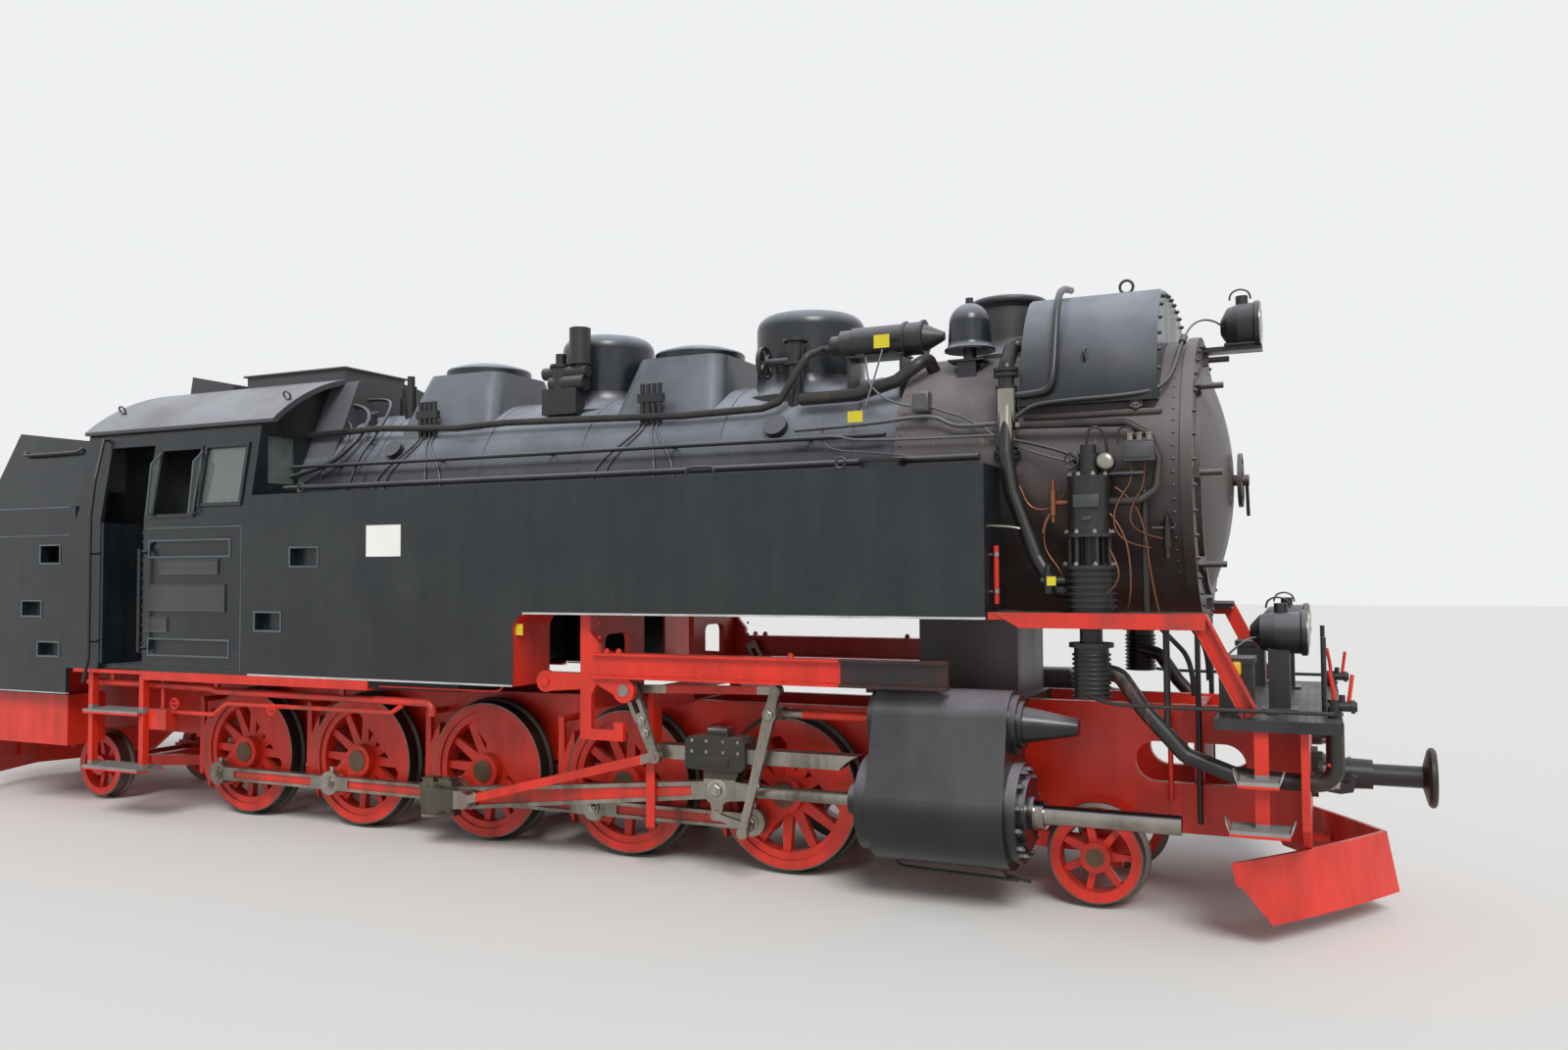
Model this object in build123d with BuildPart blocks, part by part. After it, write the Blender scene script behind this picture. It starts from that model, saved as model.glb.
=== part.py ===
from build123d import *
import os
from math import atan2, cos, degrees, hypot, radians, sin, sqrt

os.makedirs("parts", exist_ok=True)

# Narrow-gauge ten-coupled tank locomotive, in millimetres.
# X points to the chimney end, Y to the engine's left and Z up from the flange tips.
# X is 0 at the driven axle, which is the third of the five coupled axles.

# Running fit of pins, journals and rods, and gap of shrunk or seated round pieces
FIT = 0.1
SEAT = 0.3

# Wheels
FLANGE = 28
COUPLED_R = 500
COUPLED_Z = COUPLED_R + FLANGE
CARRYING_R = 275
CARRYING_Z = CARRYING_R + FLANGE
AXLE_PITCH = 1224
COUPLED_X = [AXLE_PITCH * step for step in (2, 1, 0, -1, -2)]
LEAD_X = 4434
TRAIL_X = -4267
TYRE_BACK = 465
TYRE_WIDTH = 130
TYRE_DEPTH = 70
RIM_DEPTH = 52
HUB_FACE = 640
HUB_R = 122
AXLE_R = 85
SPOKES = 12

# Cranks and rods
CRANK = 250
RIGHT_CRANK = 222.4
LEFT_CRANK = RIGHT_CRANK + 90
PIN_R = 48
DRIVEN_PIN_R = 66
SIDE_ROD_Y = 700
SIDE_ROD_W = 76
MAIN_ROD_Y = 880
MAIN_ROD_W = 80
MAIN_ROD = 2310
CYL_Z = 590
CYL_Y = MAIN_ROD_Y
BORE = 500
ROD_R = 42
PISTON_AHEAD = 1251
RETURN_CRANK_Y = 962
RETURN_CRANK_W = 44
VALVE_Y = 1012
VALVE_W = 44
RETURN_PIN = (134, -138)
TRUNNION = (1518, 1220)
LINK_FOOT = 465.6
ECCENTRIC_ROD = 1615.6
CHEST_Z = 1095
LEVER_PIN = (2522, CHEST_Z)
LEVER_Y = 1000
LEVER_W = 36

# Frame
FRAME_Y = 310
FRAME_W = 60
FRAME_TOP = 1090
FRAME_BOTTOM = 600
FRONT_PLATE = 5560
REAR_PLATE = -5850
COUPLER_X = 6250
COUPLER_Z = 790
BEAM_LOW_FRONT = 480
BEAM_LOW_REAR = 560

# Boiler
BOILER_Z = 2530
BOILER_R = 785
SMOKEBOX_R = 868
SMOKEBOX_REAR = 3300
SMOKEBOX_FRONT = 5040
SMOKEBOX_WALL = 22
DOOR_R = 700
HINGE_ROD_R = 15
CHIMNEY_X = 3825
CHIMNEY_TOP = 3772
CAB_FRONT = -1743

# Tanks, cab and bunker
SIDE_Y = 1228
TANK_TOP = 2595
TANK_IN = 806
TANK_FRONT = 3963
TANK_STEP = 721
TANK_RAISED = 1715
BODY_BOTTOM = 1227
SHEET = 30
DOOR_FRONT = -2907
DOOR_REAR = -3425
CAB_REAR = -3735
WAIST_Z = 2450
EAVES = 3160
EAVES_Y = 1112
CROWN = 3640
BUNKER_REAR = -5900
BUNKER_SIDE_TOP = 2570
BUNKER_TOP = 3250

# Running board and front platform
BOARD_Z = 1735
BOARD_FRONT = 5120
PLATFORM_Z = 1215
PLATFORM_FRONT = 5760
PUMP_X = 4500
PUMP_Y = -990
GEN_PIPE_Y = 470


def side(y):
    """Sketch plane along the engine: sketch x is X and sketch y is Z."""
    return Plane.XZ.offset(-y)


def cross(x):
    """Sketch plane across the engine: sketch x is Y and sketch y is Z."""
    return Plane.YZ.offset(x)


def level(z):
    """Sketch plane flat on a height: sketch x is X and sketch y is Y."""
    return Plane.XY.offset(z)


def polar(centre, radius, angle):
    """Point at a radius and an angle in degrees about a centre."""
    return (centre[0] + radius * cos(radians(angle)), centre[1] + radius * sin(radians(angle)))


def bar(start, end, start_depth, end_depth):
    """Outline of a straight rod between two pins, with its own depth at each end."""
    run = Vector(end[0] - start[0], end[1] - start[1]).normalized()
    across = Vector(-run.Y, run.X)
    a = Vector(*start)
    b = Vector(*end)
    corners = [a + across * start_depth / 2, b + across * end_depth / 2]
    corners += [b - across * end_depth / 2, a - across * start_depth / 2]
    Polygon(*[(c.X, c.Y) for c in corners], align=None)


def along(start, end, distance):
    """Point at a distance from the start on the line to the end."""
    length = hypot(end[0] - start[0], end[1] - start[1])
    share = distance / length
    return (start[0] + (end[0] - start[0]) * share, start[1] + (end[1] - start[1]) * share)


def crossing(a, a_radius, b, b_radius):
    """Point below the line from a to b where two circles about them meet."""
    gap = hypot(b[0] - a[0], b[1] - a[1])
    reach = (gap * gap + a_radius * a_radius - b_radius * b_radius) / (2 * gap)
    drop = sqrt(a_radius * a_radius - reach * reach)
    ux, uy = (b[0] - a[0]) / gap, (b[1] - a[1]) / gap
    return (a[0] + reach * ux + drop * uy, a[1] + reach * uy - drop * ux)

def pipe(points, diameter, bend):
    """Round pipe through its points, with one bend radius at every corner."""
    with BuildLine() as route:
        if len(points) == 2:
            Line(*points)
        else:
            FilletPolyline(*points, radius=bend)
    with BuildSketch(Plane(origin=route.line @ 0, z_dir=route.line % 0)) as section:
        Circle(diameter / 2)
    sweep(section.sketch, path=route.line)


# Hands: name, side sign, crank angle
HANDS = [("right", -1, RIGHT_CRANK), ("left", 1, LEFT_CRANK)]


def crank_pin(axle_x, angle):
    return polar((axle_x, COUPLED_Z), CRANK, angle)


def wrist_x(angle):
    pin = crank_pin(0, angle)
    return pin[0] + sqrt(MAIN_ROD ** 2 - (CYL_Z - pin[1]) ** 2)


def return_pin(angle):
    turn = radians(angle - RIGHT_CRANK)
    x = RETURN_PIN[0] * cos(turn) - RETURN_PIN[1] * sin(turn)
    z = RETURN_PIN[0] * sin(turn) + RETURN_PIN[1] * cos(turn)
    return (x, COUPLED_Z + z)


def link_foot(angle):
    return crossing(return_pin(angle), ECCENTRIC_ROD, TRUNNION, LINK_FOOT)

# Coupled wheelsets: two spoked centres, axle and crank pins
RIM_R = COUPLED_R - TYRE_DEPTH
WHEEL_Y = TYRE_BACK + TYRE_WIDTH / 2
RIM_W = 108
SPOKE_ROOT = 78
SPOKE_TIP = 52
SPOKE_W = 52
WEIGHT_W = 84
BOSS_R = 112
PIN_END = SIDE_ROD_Y + SIDE_ROD_W / 2 + 12

for number, axle_x in enumerate(COUPLED_X, start=1):
    middle = (axle_x, COUPLED_Z)
    pin_r = DRIVEN_PIN_R if axle_x == 0 else PIN_R
    chord = 120 if axle_x == 0 else 215
    with BuildPart() as wheelset:
        with BuildSketch(side(0)):
            with Locations(middle):
                Circle(AXLE_R)
        extrude(amount=HUB_FACE - 12, both=True)
        for name, hand, angle in HANDS:
            pin = crank_pin(axle_x, angle)
            with BuildSketch(side(hand * WHEEL_Y)):
                with Locations(middle):
                    Circle(RIM_R)
                    Circle(RIM_R - RIM_DEPTH, mode=Mode.SUBTRACT)
            extrude(amount=RIM_W / 2, both=True)
            with BuildSketch(side(hand * WHEEL_Y)):
                with Locations(middle):
                    with PolarLocations(0, SPOKES, start_angle=angle + 180 / SPOKES):
                        bar((HUB_R - 20, 0), (RIM_R - RIM_DEPTH + 12, 0), SPOKE_ROOT, SPOKE_TIP)
            extrude(amount=SPOKE_W / 2, both=True)
            with BuildSketch(side(hand * WHEEL_Y)):
                with Locations(middle):
                    Circle(RIM_R - RIM_DEPTH + 12)
                with Locations(polar(middle, RIM_R - chord, angle)):
                    Rectangle(2 * RIM_R, 2.2 * RIM_R, rotation=angle, mode=Mode.SUBTRACT)
            extrude(amount=WEIGHT_W / 2, both=True)
            hub_mid = (TYRE_BACK + HUB_FACE) / 2
            with BuildSketch(side(hand * hub_mid)):
                with Locations(middle):
                    Circle(HUB_R)
                with Locations(pin):
                    Circle(BOSS_R)
                bar(middle, pin, HUB_R * 1.7, BOSS_R * 1.7)
            extrude(amount=HUB_FACE - 10 - hub_mid, both=True)
            with BuildSketch(side(hand * (HUB_FACE - 20))):
                with Locations(pin):
                    Circle(pin_r)
            extrude(amount=-hand * (PIN_END - HUB_FACE + 20))
            with BuildSketch(side(hand * (HUB_FACE - 20))):
                with Locations(middle):
                    Circle(AXLE_R - 4)
            extrude(amount=-hand * 20)
    wheelset.part.label = f"wheelset_{number}"
    export_step(wheelset.part, f"parts/wheelset_{number}.step")

# Tyres: (distance from the centre line, radius) round the section
TYRE_SECTION = [
    (0, -TYRE_DEPTH + SEAT), (TYRE_WIDTH, -TYRE_DEPTH + SEAT), (TYRE_WIDTH, -4), (36, 0),
    (27, FLANGE - 3), (20, FLANGE), (7, FLANGE), (0, FLANGE - 8),
]

for number, axle_x in enumerate(COUPLED_X, start=1):
    with BuildPart() as tyres:
        with BuildSketch(cross(axle_x)):
            for hand in (-1, 1):
                outline = [(hand * (TYRE_BACK + y), COUPLED_Z + COUPLED_R + r) for y, r in TYRE_SECTION]
                Polygon(*outline, align=None)
        revolve(axis=Axis((axle_x, 0, COUPLED_Z), (0, 1, 0)))
    tyres.part.label = f"tyres_{number}"
    export_step(tyres.part, f"parts/tyres_{number}.step")

# Carrying wheelsets: seven thick spokes, rim and tread in one piece
CARRYING_SPOKES = 7
CARRYING_HUB = 88
CARRYING_AXLE = 70

for name, axle_x in (("lead_wheelset", LEAD_X), ("trail_wheelset", TRAIL_X)):
    middle = (axle_x, CARRYING_Z)
    with BuildPart() as carrying:
        with BuildSketch(side(0)):
            with Locations(middle):
                Circle(CARRYING_AXLE)
        extrude(amount=HUB_FACE - 50, both=True)
        with BuildSketch(cross(axle_x)):
            for hand in (-1, 1):
                outline = [(hand * (TYRE_BACK + y), CARRYING_Z + CARRYING_R + r) for y, r in TYRE_SECTION]
                Polygon(*outline, align=None)
        revolve(axis=Axis((axle_x, 0, CARRYING_Z), (0, 1, 0)))
        for hand in (-1, 1):
            with BuildSketch(side(hand * WHEEL_Y)):
                with Locations(middle):
                    with PolarLocations(0, CARRYING_SPOKES):
                        bar((CARRYING_HUB - 15, 0), (CARRYING_R - TYRE_DEPTH + 12, 0), 46, 34)
            extrude(amount=22, both=True)
            with BuildSketch(side(hand * (TYRE_BACK + HUB_FACE - 30) / 2)):
                with Locations(middle):
                    Circle(CARRYING_HUB)
            extrude(amount=(HUB_FACE - 30 - TYRE_BACK) / 2, both=True)
    carrying.part.label = name
    export_step(carrying.part, f"parts/{name}.step")

# Pony trucks: tapering frame from the pivot to the axleboxes of the carrying axle
LEAD_PIVOT = 3350
TRAIL_PIVOT = -3250
TRUCK_Z = 330
TRUCK_D = 90
TRUCK_BAR_Y = 330
TRUCK_BAR_W = 70
PIVOT_R = 60
TRUCK_BOX = 120

for name, axle_x, pivot_x in (("lead_truck", LEAD_X, LEAD_PIVOT), ("trail_truck", TRAIL_X, TRAIL_PIVOT)):
    toward = 1 if axle_x > pivot_x else -1
    with BuildPart() as truck:
        with BuildSketch(level(TRUCK_Z - TRUCK_D / 2)):
            with Locations((pivot_x, 0)):
                Circle(PIVOT_R + 60)
            for hand in (-1, 1):
                root = (pivot_x + toward * 40, hand * 40)
                bar(root, (axle_x - toward * 330, hand * TRUCK_BAR_Y), 90, TRUCK_BAR_W)
                bar((axle_x - toward * 350, hand * TRUCK_BAR_Y), (axle_x + toward * 170, hand * TRUCK_BAR_Y),
                    TRUCK_BAR_W, TRUCK_BAR_W)
            with Locations((axle_x - toward * 310, 0)):
                Rectangle(80, 2 * TRUCK_BAR_Y)
            with Locations((pivot_x, 0)):
                Circle(PIVOT_R + FIT, mode=Mode.SUBTRACT)
        extrude(amount=TRUCK_D)
        with BuildSketch(side(0)):
            with Locations((axle_x, CARRYING_Z)):
                Rectangle(2 * TRUCK_BOX, 2 * TRUCK_BOX - 40)
        extrude(amount=TRUCK_BAR_Y + TRUCK_BAR_W / 2, both=True)
        with BuildSketch(side(0)):
            with Locations((axle_x, CARRYING_Z)):
                Rectangle(2 * TRUCK_BOX + 2, 2 * TRUCK_BOX + 2)
        extrude(amount=TRUCK_BAR_Y - TRUCK_BAR_W / 2, both=True, mode=Mode.SUBTRACT)
        with BuildSketch(side(0)):
            with Locations((axle_x, CARRYING_Z)):
                Circle(CARRYING_AXLE + FIT)
        extrude(amount=HUB_FACE, both=True, mode=Mode.SUBTRACT)
    truck.part.label = name
    export_step(truck.part, f"parts/{name}.step")

# Side rods: one fluted rod with five eyes on each side
ROD_DEPTH = 104
EYE_R = 92
FLUTE = 14

for name, hand, angle in HANDS:
    pins = [crank_pin(axle_x, angle) for axle_x in COUPLED_X]
    face = SIDE_ROD_Y + SIDE_ROD_W / 2
    with BuildPart() as side_rod:
        with BuildSketch(side(hand * SIDE_ROD_Y)):
            for front, rear in zip(pins, pins[1:]):
                bar(front, rear, ROD_DEPTH, ROD_DEPTH)
            for pin, axle_x in zip(pins, COUPLED_X):
                with Locations(pin):
                    Circle(EYE_R + (28 if axle_x == 0 else 0))
        extrude(amount=SIDE_ROD_W / 2, both=True)
        with BuildSketch(side(hand * face)):
            for front, rear in zip(pins, pins[1:]):
                bar(along(front, rear, 190), along(rear, front, 190), ROD_DEPTH - 44, ROD_DEPTH - 44)
        extrude(amount=hand * FLUTE, mode=Mode.SUBTRACT)
        with BuildSketch(side(hand * SIDE_ROD_Y)):
            for pin, axle_x in zip(pins, COUPLED_X):
                with Locations(pin):
                    Circle((DRIVEN_PIN_R if axle_x == 0 else PIN_R) + FIT)
        extrude(amount=SIDE_ROD_W, both=True, mode=Mode.SUBTRACT)
    side_rod.part.label = f"side_rod_{name}"
    export_step(side_rod.part, f"parts/side_rod_{name}.step")

# Main rods with their outer crank pin and return crank, which the opened pivot leaves on them
WRIST_R = 46
BIG_END = (300, 250)
SMALL_END = 96

for name, hand, angle in HANDS:
    pin = crank_pin(0, angle)
    wrist = (wrist_x(angle), CYL_Z)
    tilt = degrees(atan2(wrist[1] - pin[1], wrist[0] - pin[0]))
    face = MAIN_ROD_Y + MAIN_ROD_W / 2
    with BuildPart() as main_rod:
        with BuildSketch(side(hand * MAIN_ROD_Y)):
            bar(pin, wrist, 158, 112)
            with Locations(pin):
                Rectangle(*BIG_END, rotation=tilt)
            with Locations(wrist):
                Circle(SMALL_END)
        extrude(amount=MAIN_ROD_W / 2, both=True)
        with BuildSketch(side(hand * face)):
            bar(along(pin, wrist, 260), along(wrist, pin, 200), 100, 62)
        extrude(amount=hand * FLUTE, mode=Mode.SUBTRACT)
        with BuildSketch(side(hand * MAIN_ROD_Y)):
            with Locations(wrist):
                Circle(WRIST_R + FIT)
            with Locations(pin):
                Circle(DRIVEN_PIN_R + SEAT)
        extrude(amount=MAIN_ROD_W, both=True, mode=Mode.SUBTRACT)
        back = return_pin(angle)
        inner = MAIN_ROD_Y - MAIN_ROD_W / 2 - 40
        with BuildSketch(side(hand * inner)):
            with Locations(pin):
                Circle(DRIVEN_PIN_R)
        extrude(amount=-hand * (RETURN_CRANK_Y - inner))
        with BuildSketch(side(hand * RETURN_CRANK_Y)):
            bar(pin, back, 170, 110)
            with Locations(pin):
                Circle(100)
            with Locations(back):
                Circle(62)
        extrude(amount=RETURN_CRANK_W / 2, both=True)
    main_rod.part.label = f"main_rod_{name}"
    export_step(main_rod.part, f"parts/main_rod_{name}.step")

# Crossheads: slipper on the single guide bar, body, wrist pin, piston rod and piston.
# A drop arm behind the wrist pin carries the union link, left open at the lever's foot.
BAR_Z = 815
BAR_D = 90
BAR_W = 120
SLIPPER = (430, 210)
CHEEK_T = 18
ARM_DROP = 158
UNION_W = 28
UNION_REACH = 236
UNION_DROP = 212

for name, hand, angle in HANDS:
    wrist = (wrist_x(angle), CYL_Z)
    outer = MAIN_ROD_Y + MAIN_ROD_W / 2 + 5 + CHEEK_T
    with BuildPart() as crosshead:
        with BuildSketch(side(hand * CYL_Y)) as slipper:
            with Locations((wrist[0], BAR_Z + 10)):
                Rectangle(*SLIPPER)
            chamfer(slipper.vertices(), 28)
        extrude(amount=BAR_W / 2 + 30, both=True)
        with BuildSketch(level(BAR_Z + 10 + SLIPPER[1] / 2)):
            with Locations((wrist[0], hand * CYL_Y)):
                Rectangle(150, 90)
        extrude(amount=26)
        with BuildSketch(cross(wrist[0])):
            with Locations((hand * CYL_Y, BAR_Z)):
                Rectangle(BAR_W + 2, BAR_D + 2)
        extrude(amount=SLIPPER[0], both=True, mode=Mode.SUBTRACT)
        for cheek in (-1, 1):
            cheek_y = CYL_Y + cheek * (MAIN_ROD_W / 2 + 5 + CHEEK_T / 2)
            with BuildSketch(side(hand * cheek_y)):
                with Locations(wrist):
                    Circle(98)
                bar(wrist, (wrist[0] + 30, BAR_Z - 80), 190, 260)
                bar(wrist, (wrist[0] + 190, CYL_Z), 150, 110)
            extrude(amount=CHEEK_T / 2, both=True)
        with BuildSketch(side(hand * CYL_Y)):
            with Locations((wrist[0] + 170, CYL_Z)):
                Rectangle(110, 110)
        extrude(amount=MAIN_ROD_W / 2 + 23, both=True)
        with BuildSketch(side(hand * CYL_Y)):
            with Locations(wrist):
                Circle(WRIST_R)
        extrude(amount=MAIN_ROD_W / 2 + 34, both=True)
        with BuildSketch(cross(wrist[0] + 200)):
            with Locations((hand * CYL_Y, CYL_Z)):
                Circle(ROD_R)
        extrude(amount=PISTON_AHEAD + 600)
        with BuildSketch(cross(wrist[0] + PISTON_AHEAD - 55)):
            with Locations((hand * CYL_Y, CYL_Z)):
                Circle(BORE / 2 - SEAT)
        extrude(amount=110)
        foot = (wrist[0], CYL_Z - ARM_DROP)
        with BuildSketch(side(hand * (outer - CHEEK_T))):
            bar(wrist, foot, 120, 66)
            with Locations(foot):
                Circle(38)
        extrude(amount=-hand * CHEEK_T)
        with BuildSketch(side(hand * outer)):
            bar(foot, (foot[0] + UNION_REACH, CYL_Z - UNION_DROP), 44, 40)
            with Locations(foot, (foot[0] + UNION_REACH, CYL_Z - UNION_DROP)):
                Circle(32)
        extrude(amount=-hand * UNION_W)
    crosshead.part.label = f"crosshead_{name}"
    export_step(crosshead.part, f"parts/crosshead_{name}.step")

# Cylinders: wrapped casting with valve chest above, bored for the piston and its rod
CYL_REAR = 3225
CYL_FRONT = 4035
CYL_SKIN = 330
CHEST_R = 196
COVER_R = 285
GLAND_R = 95
TUBE_R = 56
TAIL_FRONT = 4953

with BuildPart() as cylinders:
    with BuildSketch(cross(CYL_REAR)):
        with Locations((-CYL_Y, CYL_Z)):
            Circle(CYL_SKIN)
        with Locations((-CYL_Y, CHEST_Z)):
            Circle(CHEST_R)
        make_hull()
    extrude(amount=CYL_FRONT - CYL_REAR)
    with BuildSketch(cross(CYL_REAR + 60)):
        with Locations((-(FRAME_Y + FRAME_W + CYL_Y) / 2, 720)):
            Rectangle(CYL_Y - FRAME_Y - FRAME_W, 700)
    extrude(amount=CYL_FRONT - CYL_REAR - 120)
    # Covers, stepped rings and glands: start x, length, radius
    for x, length, radius in (
        (CYL_REAR - 90, CYL_FRONT - CYL_REAR + 150, COVER_R),
        (CYL_FRONT + 60, 34, COVER_R - 80),
        (CYL_REAR - 200, CYL_FRONT - CYL_REAR + 320, GLAND_R),
        (CYL_FRONT + 100, 70, TUBE_R + 22),
        (CYL_FRONT + 100, TAIL_FRONT - CYL_FRONT - 100, TUBE_R),
    ):
        with BuildSketch(cross(x)):
            with Locations((-CYL_Y, CYL_Z)):
                Circle(radius)
        extrude(amount=length)
    for x, length, radius in (
        (CYL_REAR - 40, CYL_FRONT - CYL_REAR + 80, CHEST_R - 26),
        (CYL_FRONT + 40, 26, CHEST_R - 60),
    ):
        with BuildSketch(cross(x)):
            with Locations((-CYL_Y, CHEST_Z)):
                Circle(radius)
        extrude(amount=length)
    with BuildSketch(cross(CYL_FRONT + 40)):
        with Locations((-CYL_Y, CHEST_Z)):
            Circle(110)
    with BuildSketch(cross(CYL_FRONT + 370)):
        with Locations((-CYL_Y, CHEST_Z)):
            Circle(46)
    loft()
    with BuildSketch(cross(CYL_REAR - 210)):
        with Locations((-CYL_Y, CYL_Z)):
            Circle(ROD_R + FIT)
    extrude(amount=TAIL_FRONT - CYL_REAR + 180, mode=Mode.SUBTRACT)
    with BuildSketch(cross(CYL_REAR + 8)):
        with Locations((-CYL_Y, CYL_Z)):
            Circle(BORE / 2)
    extrude(amount=CYL_FRONT - CYL_REAR - 116, mode=Mode.SUBTRACT)
    mirror(about=Plane.XZ)
cylinders.part.label = "cylinders"
export_step(cylinders.part, "parts/cylinders.step")

# Guide bars: one upper bar a side, from the motion bracket to the rear cylinder cover
BRACKET_X = 1640
with BuildPart() as guide_bars:
    with BuildSketch(side(-CYL_Y)):
        with Locations(((BRACKET_X + CYL_REAR) / 2, BAR_Z)):
            Rectangle(CYL_REAR - BRACKET_X, BAR_D)
    extrude(amount=BAR_W / 2, both=True)
    with BuildSketch(side(-CYL_Y)):
        with Locations((CYL_REAR - 45, CYL_Z)):
            Circle(COVER_R + 1)
    extrude(amount=BAR_W, both=True, mode=Mode.SUBTRACT)
    mirror(about=Plane.XZ)
guide_bars.part.label = "guide_bars"
export_step(guide_bars.part, "parts/guide_bars.step")

# Motion brackets: hanging plate behind the links, valve-gear beam, reversing arm and rod guard strap
BEAM_Z = 1380
BEAM_D = 165
BEAM_Y = 1090
BEAM_REAR = 1300
BEAM_FRONT = 3700
TRUNNION_R = 40
BRACKET_LOW = COUPLED_Z + COUPLED_R + FLANGE + 20
LEG_LOW = 890
ARM_PIN = (905, 1262)
STRAP_Y = 936
STRAP_LOW = 310
with BuildPart() as motion_brackets:
    with BuildSketch(cross(1185)):
        with Locations((-(FRAME_Y + FRAME_W + BEAM_Y) / 2, (BRACKET_LOW + TANK_RAISED) / 2)):
            Rectangle(BEAM_Y - FRAME_Y - FRAME_W, TANK_RAISED - BRACKET_LOW)
        with Locations((-720, 1420)):
            RectangleRounded(320, 300, 60, mode=Mode.SUBTRACT)
    extrude(amount=45)
    with BuildSketch(side(-BEAM_Y)):
        with BuildLine():
            Polyline((1185, TANK_RAISED), (1185, LEG_LOW), (1515, LEG_LOW), (1515, 1010), (1445, 1010))
            Polyline((1445, 1010), (1445, 960), (1270, 960), (1270, BEAM_Z - 200))
            Polyline((1270, BEAM_Z - 200), (1330, BEAM_Z - BEAM_D / 2), (1330, BEAM_Z + BEAM_D / 2 + 60))
            Polyline((1330, BEAM_Z + BEAM_D / 2 + 60), (1262, 1600), (1262, TANK_RAISED), (1185, TANK_RAISED))
        make_face()
        with Locations(((BEAM_REAR + BEAM_FRONT) / 2, BEAM_Z)):
            Rectangle(BEAM_FRONT - BEAM_REAR, BEAM_D)
        bar((1330, BEAM_Z), TRUNNION, 250, 120)
        bar(ARM_PIN, (1200, 1270), 130, 104)
        with Locations(ARM_PIN):
            Circle(72)
        with Locations(TRUNNION):
            Circle(80)
            Circle(TRUNNION_R + FIT, mode=Mode.SUBTRACT)
    extrude(amount=20, both=True)
    with BuildSketch(side(-BEAM_Y)):
        for edge in (-1, 1):
            with Locations(((BEAM_REAR + BEAM_FRONT) / 2, BEAM_Z + edge * (BEAM_D / 2 - 8))):
                Rectangle(BEAM_FRONT - BEAM_REAR, 16)
    extrude(amount=55, both=True)
    with BuildSketch(side(-BEAM_Y - 20)):
        with Locations(ARM_PIN):
            Circle(30)
    extrude(amount=16)
    with BuildSketch(cross(BRACKET_X - 40)):
        with Locations((-(FRAME_Y + FRAME_W + CYL_Y + BAR_W / 2) / 2, (BRACKET_LOW + 1230) / 2)):
            Rectangle(CYL_Y + BAR_W / 2 - FRAME_Y - FRAME_W, 1230 - BRACKET_LOW)
        with Locations((-CYL_Y, (BAR_Z - BAR_D / 2 + BRACKET_LOW) / 2)):
            Rectangle(BAR_W, BRACKET_LOW - BAR_Z + BAR_D / 2)
    extrude(amount=40)
    with BuildSketch(side(-STRAP_Y)):
        with Locations((BRACKET_X - 20, (STRAP_LOW + BAR_Z - BAR_D / 2) / 2)):
            Rectangle(64, BAR_Z - BAR_D / 2 - STRAP_LOW)
    extrude(amount=6, both=True)
    mirror(about=Plane.XZ)
motion_brackets.part.label = "motion_brackets"
export_step(motion_brackets.part, "parts/motion_brackets.step")

# Expansion links: slotted link on a trunnion in the beam bracket, with a tail for the eccentric rod
LINK_HALF = 215
SLOT_HALF = 165
SLOT_R = 19
TAIL_W = 24
LINK_PIN_R = 18
for name, hand, angle in HANDS:
    foot = link_foot(angle)
    lean = degrees(atan2(foot[1] - TRUNNION[1], foot[0] - TRUNNION[0]))
    with BuildPart() as link:
        with BuildSketch(side(hand * VALVE_Y)):
            bar(polar(TRUNNION, LINK_HALF, lean + 180), polar(TRUNNION, LINK_HALF, lean), 96, 96)
        extrude(amount=VALVE_W / 2, both=True)
        with BuildSketch(side(hand * VALVE_Y)):
            bar(polar(TRUNNION, LINK_HALF - 20, lean), foot, 90, 60)
            with Locations(foot):
                Circle(46)
        extrude(amount=TAIL_W / 2, both=True)
        with BuildSketch(side(hand * VALVE_Y)):
            slot = (polar(TRUNNION, SLOT_HALF, lean + 180), polar(TRUNNION, SLOT_HALF, lean))
            bar(*slot, 2 * SLOT_R, 2 * SLOT_R)
            with Locations(foot):
                Circle(LINK_PIN_R + FIT)
        extrude(amount=VALVE_W, both=True, mode=Mode.SUBTRACT)
        with BuildSketch(side(hand * (VALVE_Y + VALVE_W / 2))):
            with Locations(TRUNNION):
                Circle(62)
        extrude(amount=-hand * 12)
        with BuildSketch(side(hand * (VALVE_Y + VALVE_W / 2))):
            with Locations(TRUNNION):
                Circle(TRUNNION_R)
        extrude(amount=-hand * (BEAM_Y + 26 - VALVE_Y - VALVE_W / 2))
    link.part.label = f"expansion_link_{name}"
    export_step(link.part, f"parts/expansion_link_{name}.step")

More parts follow.
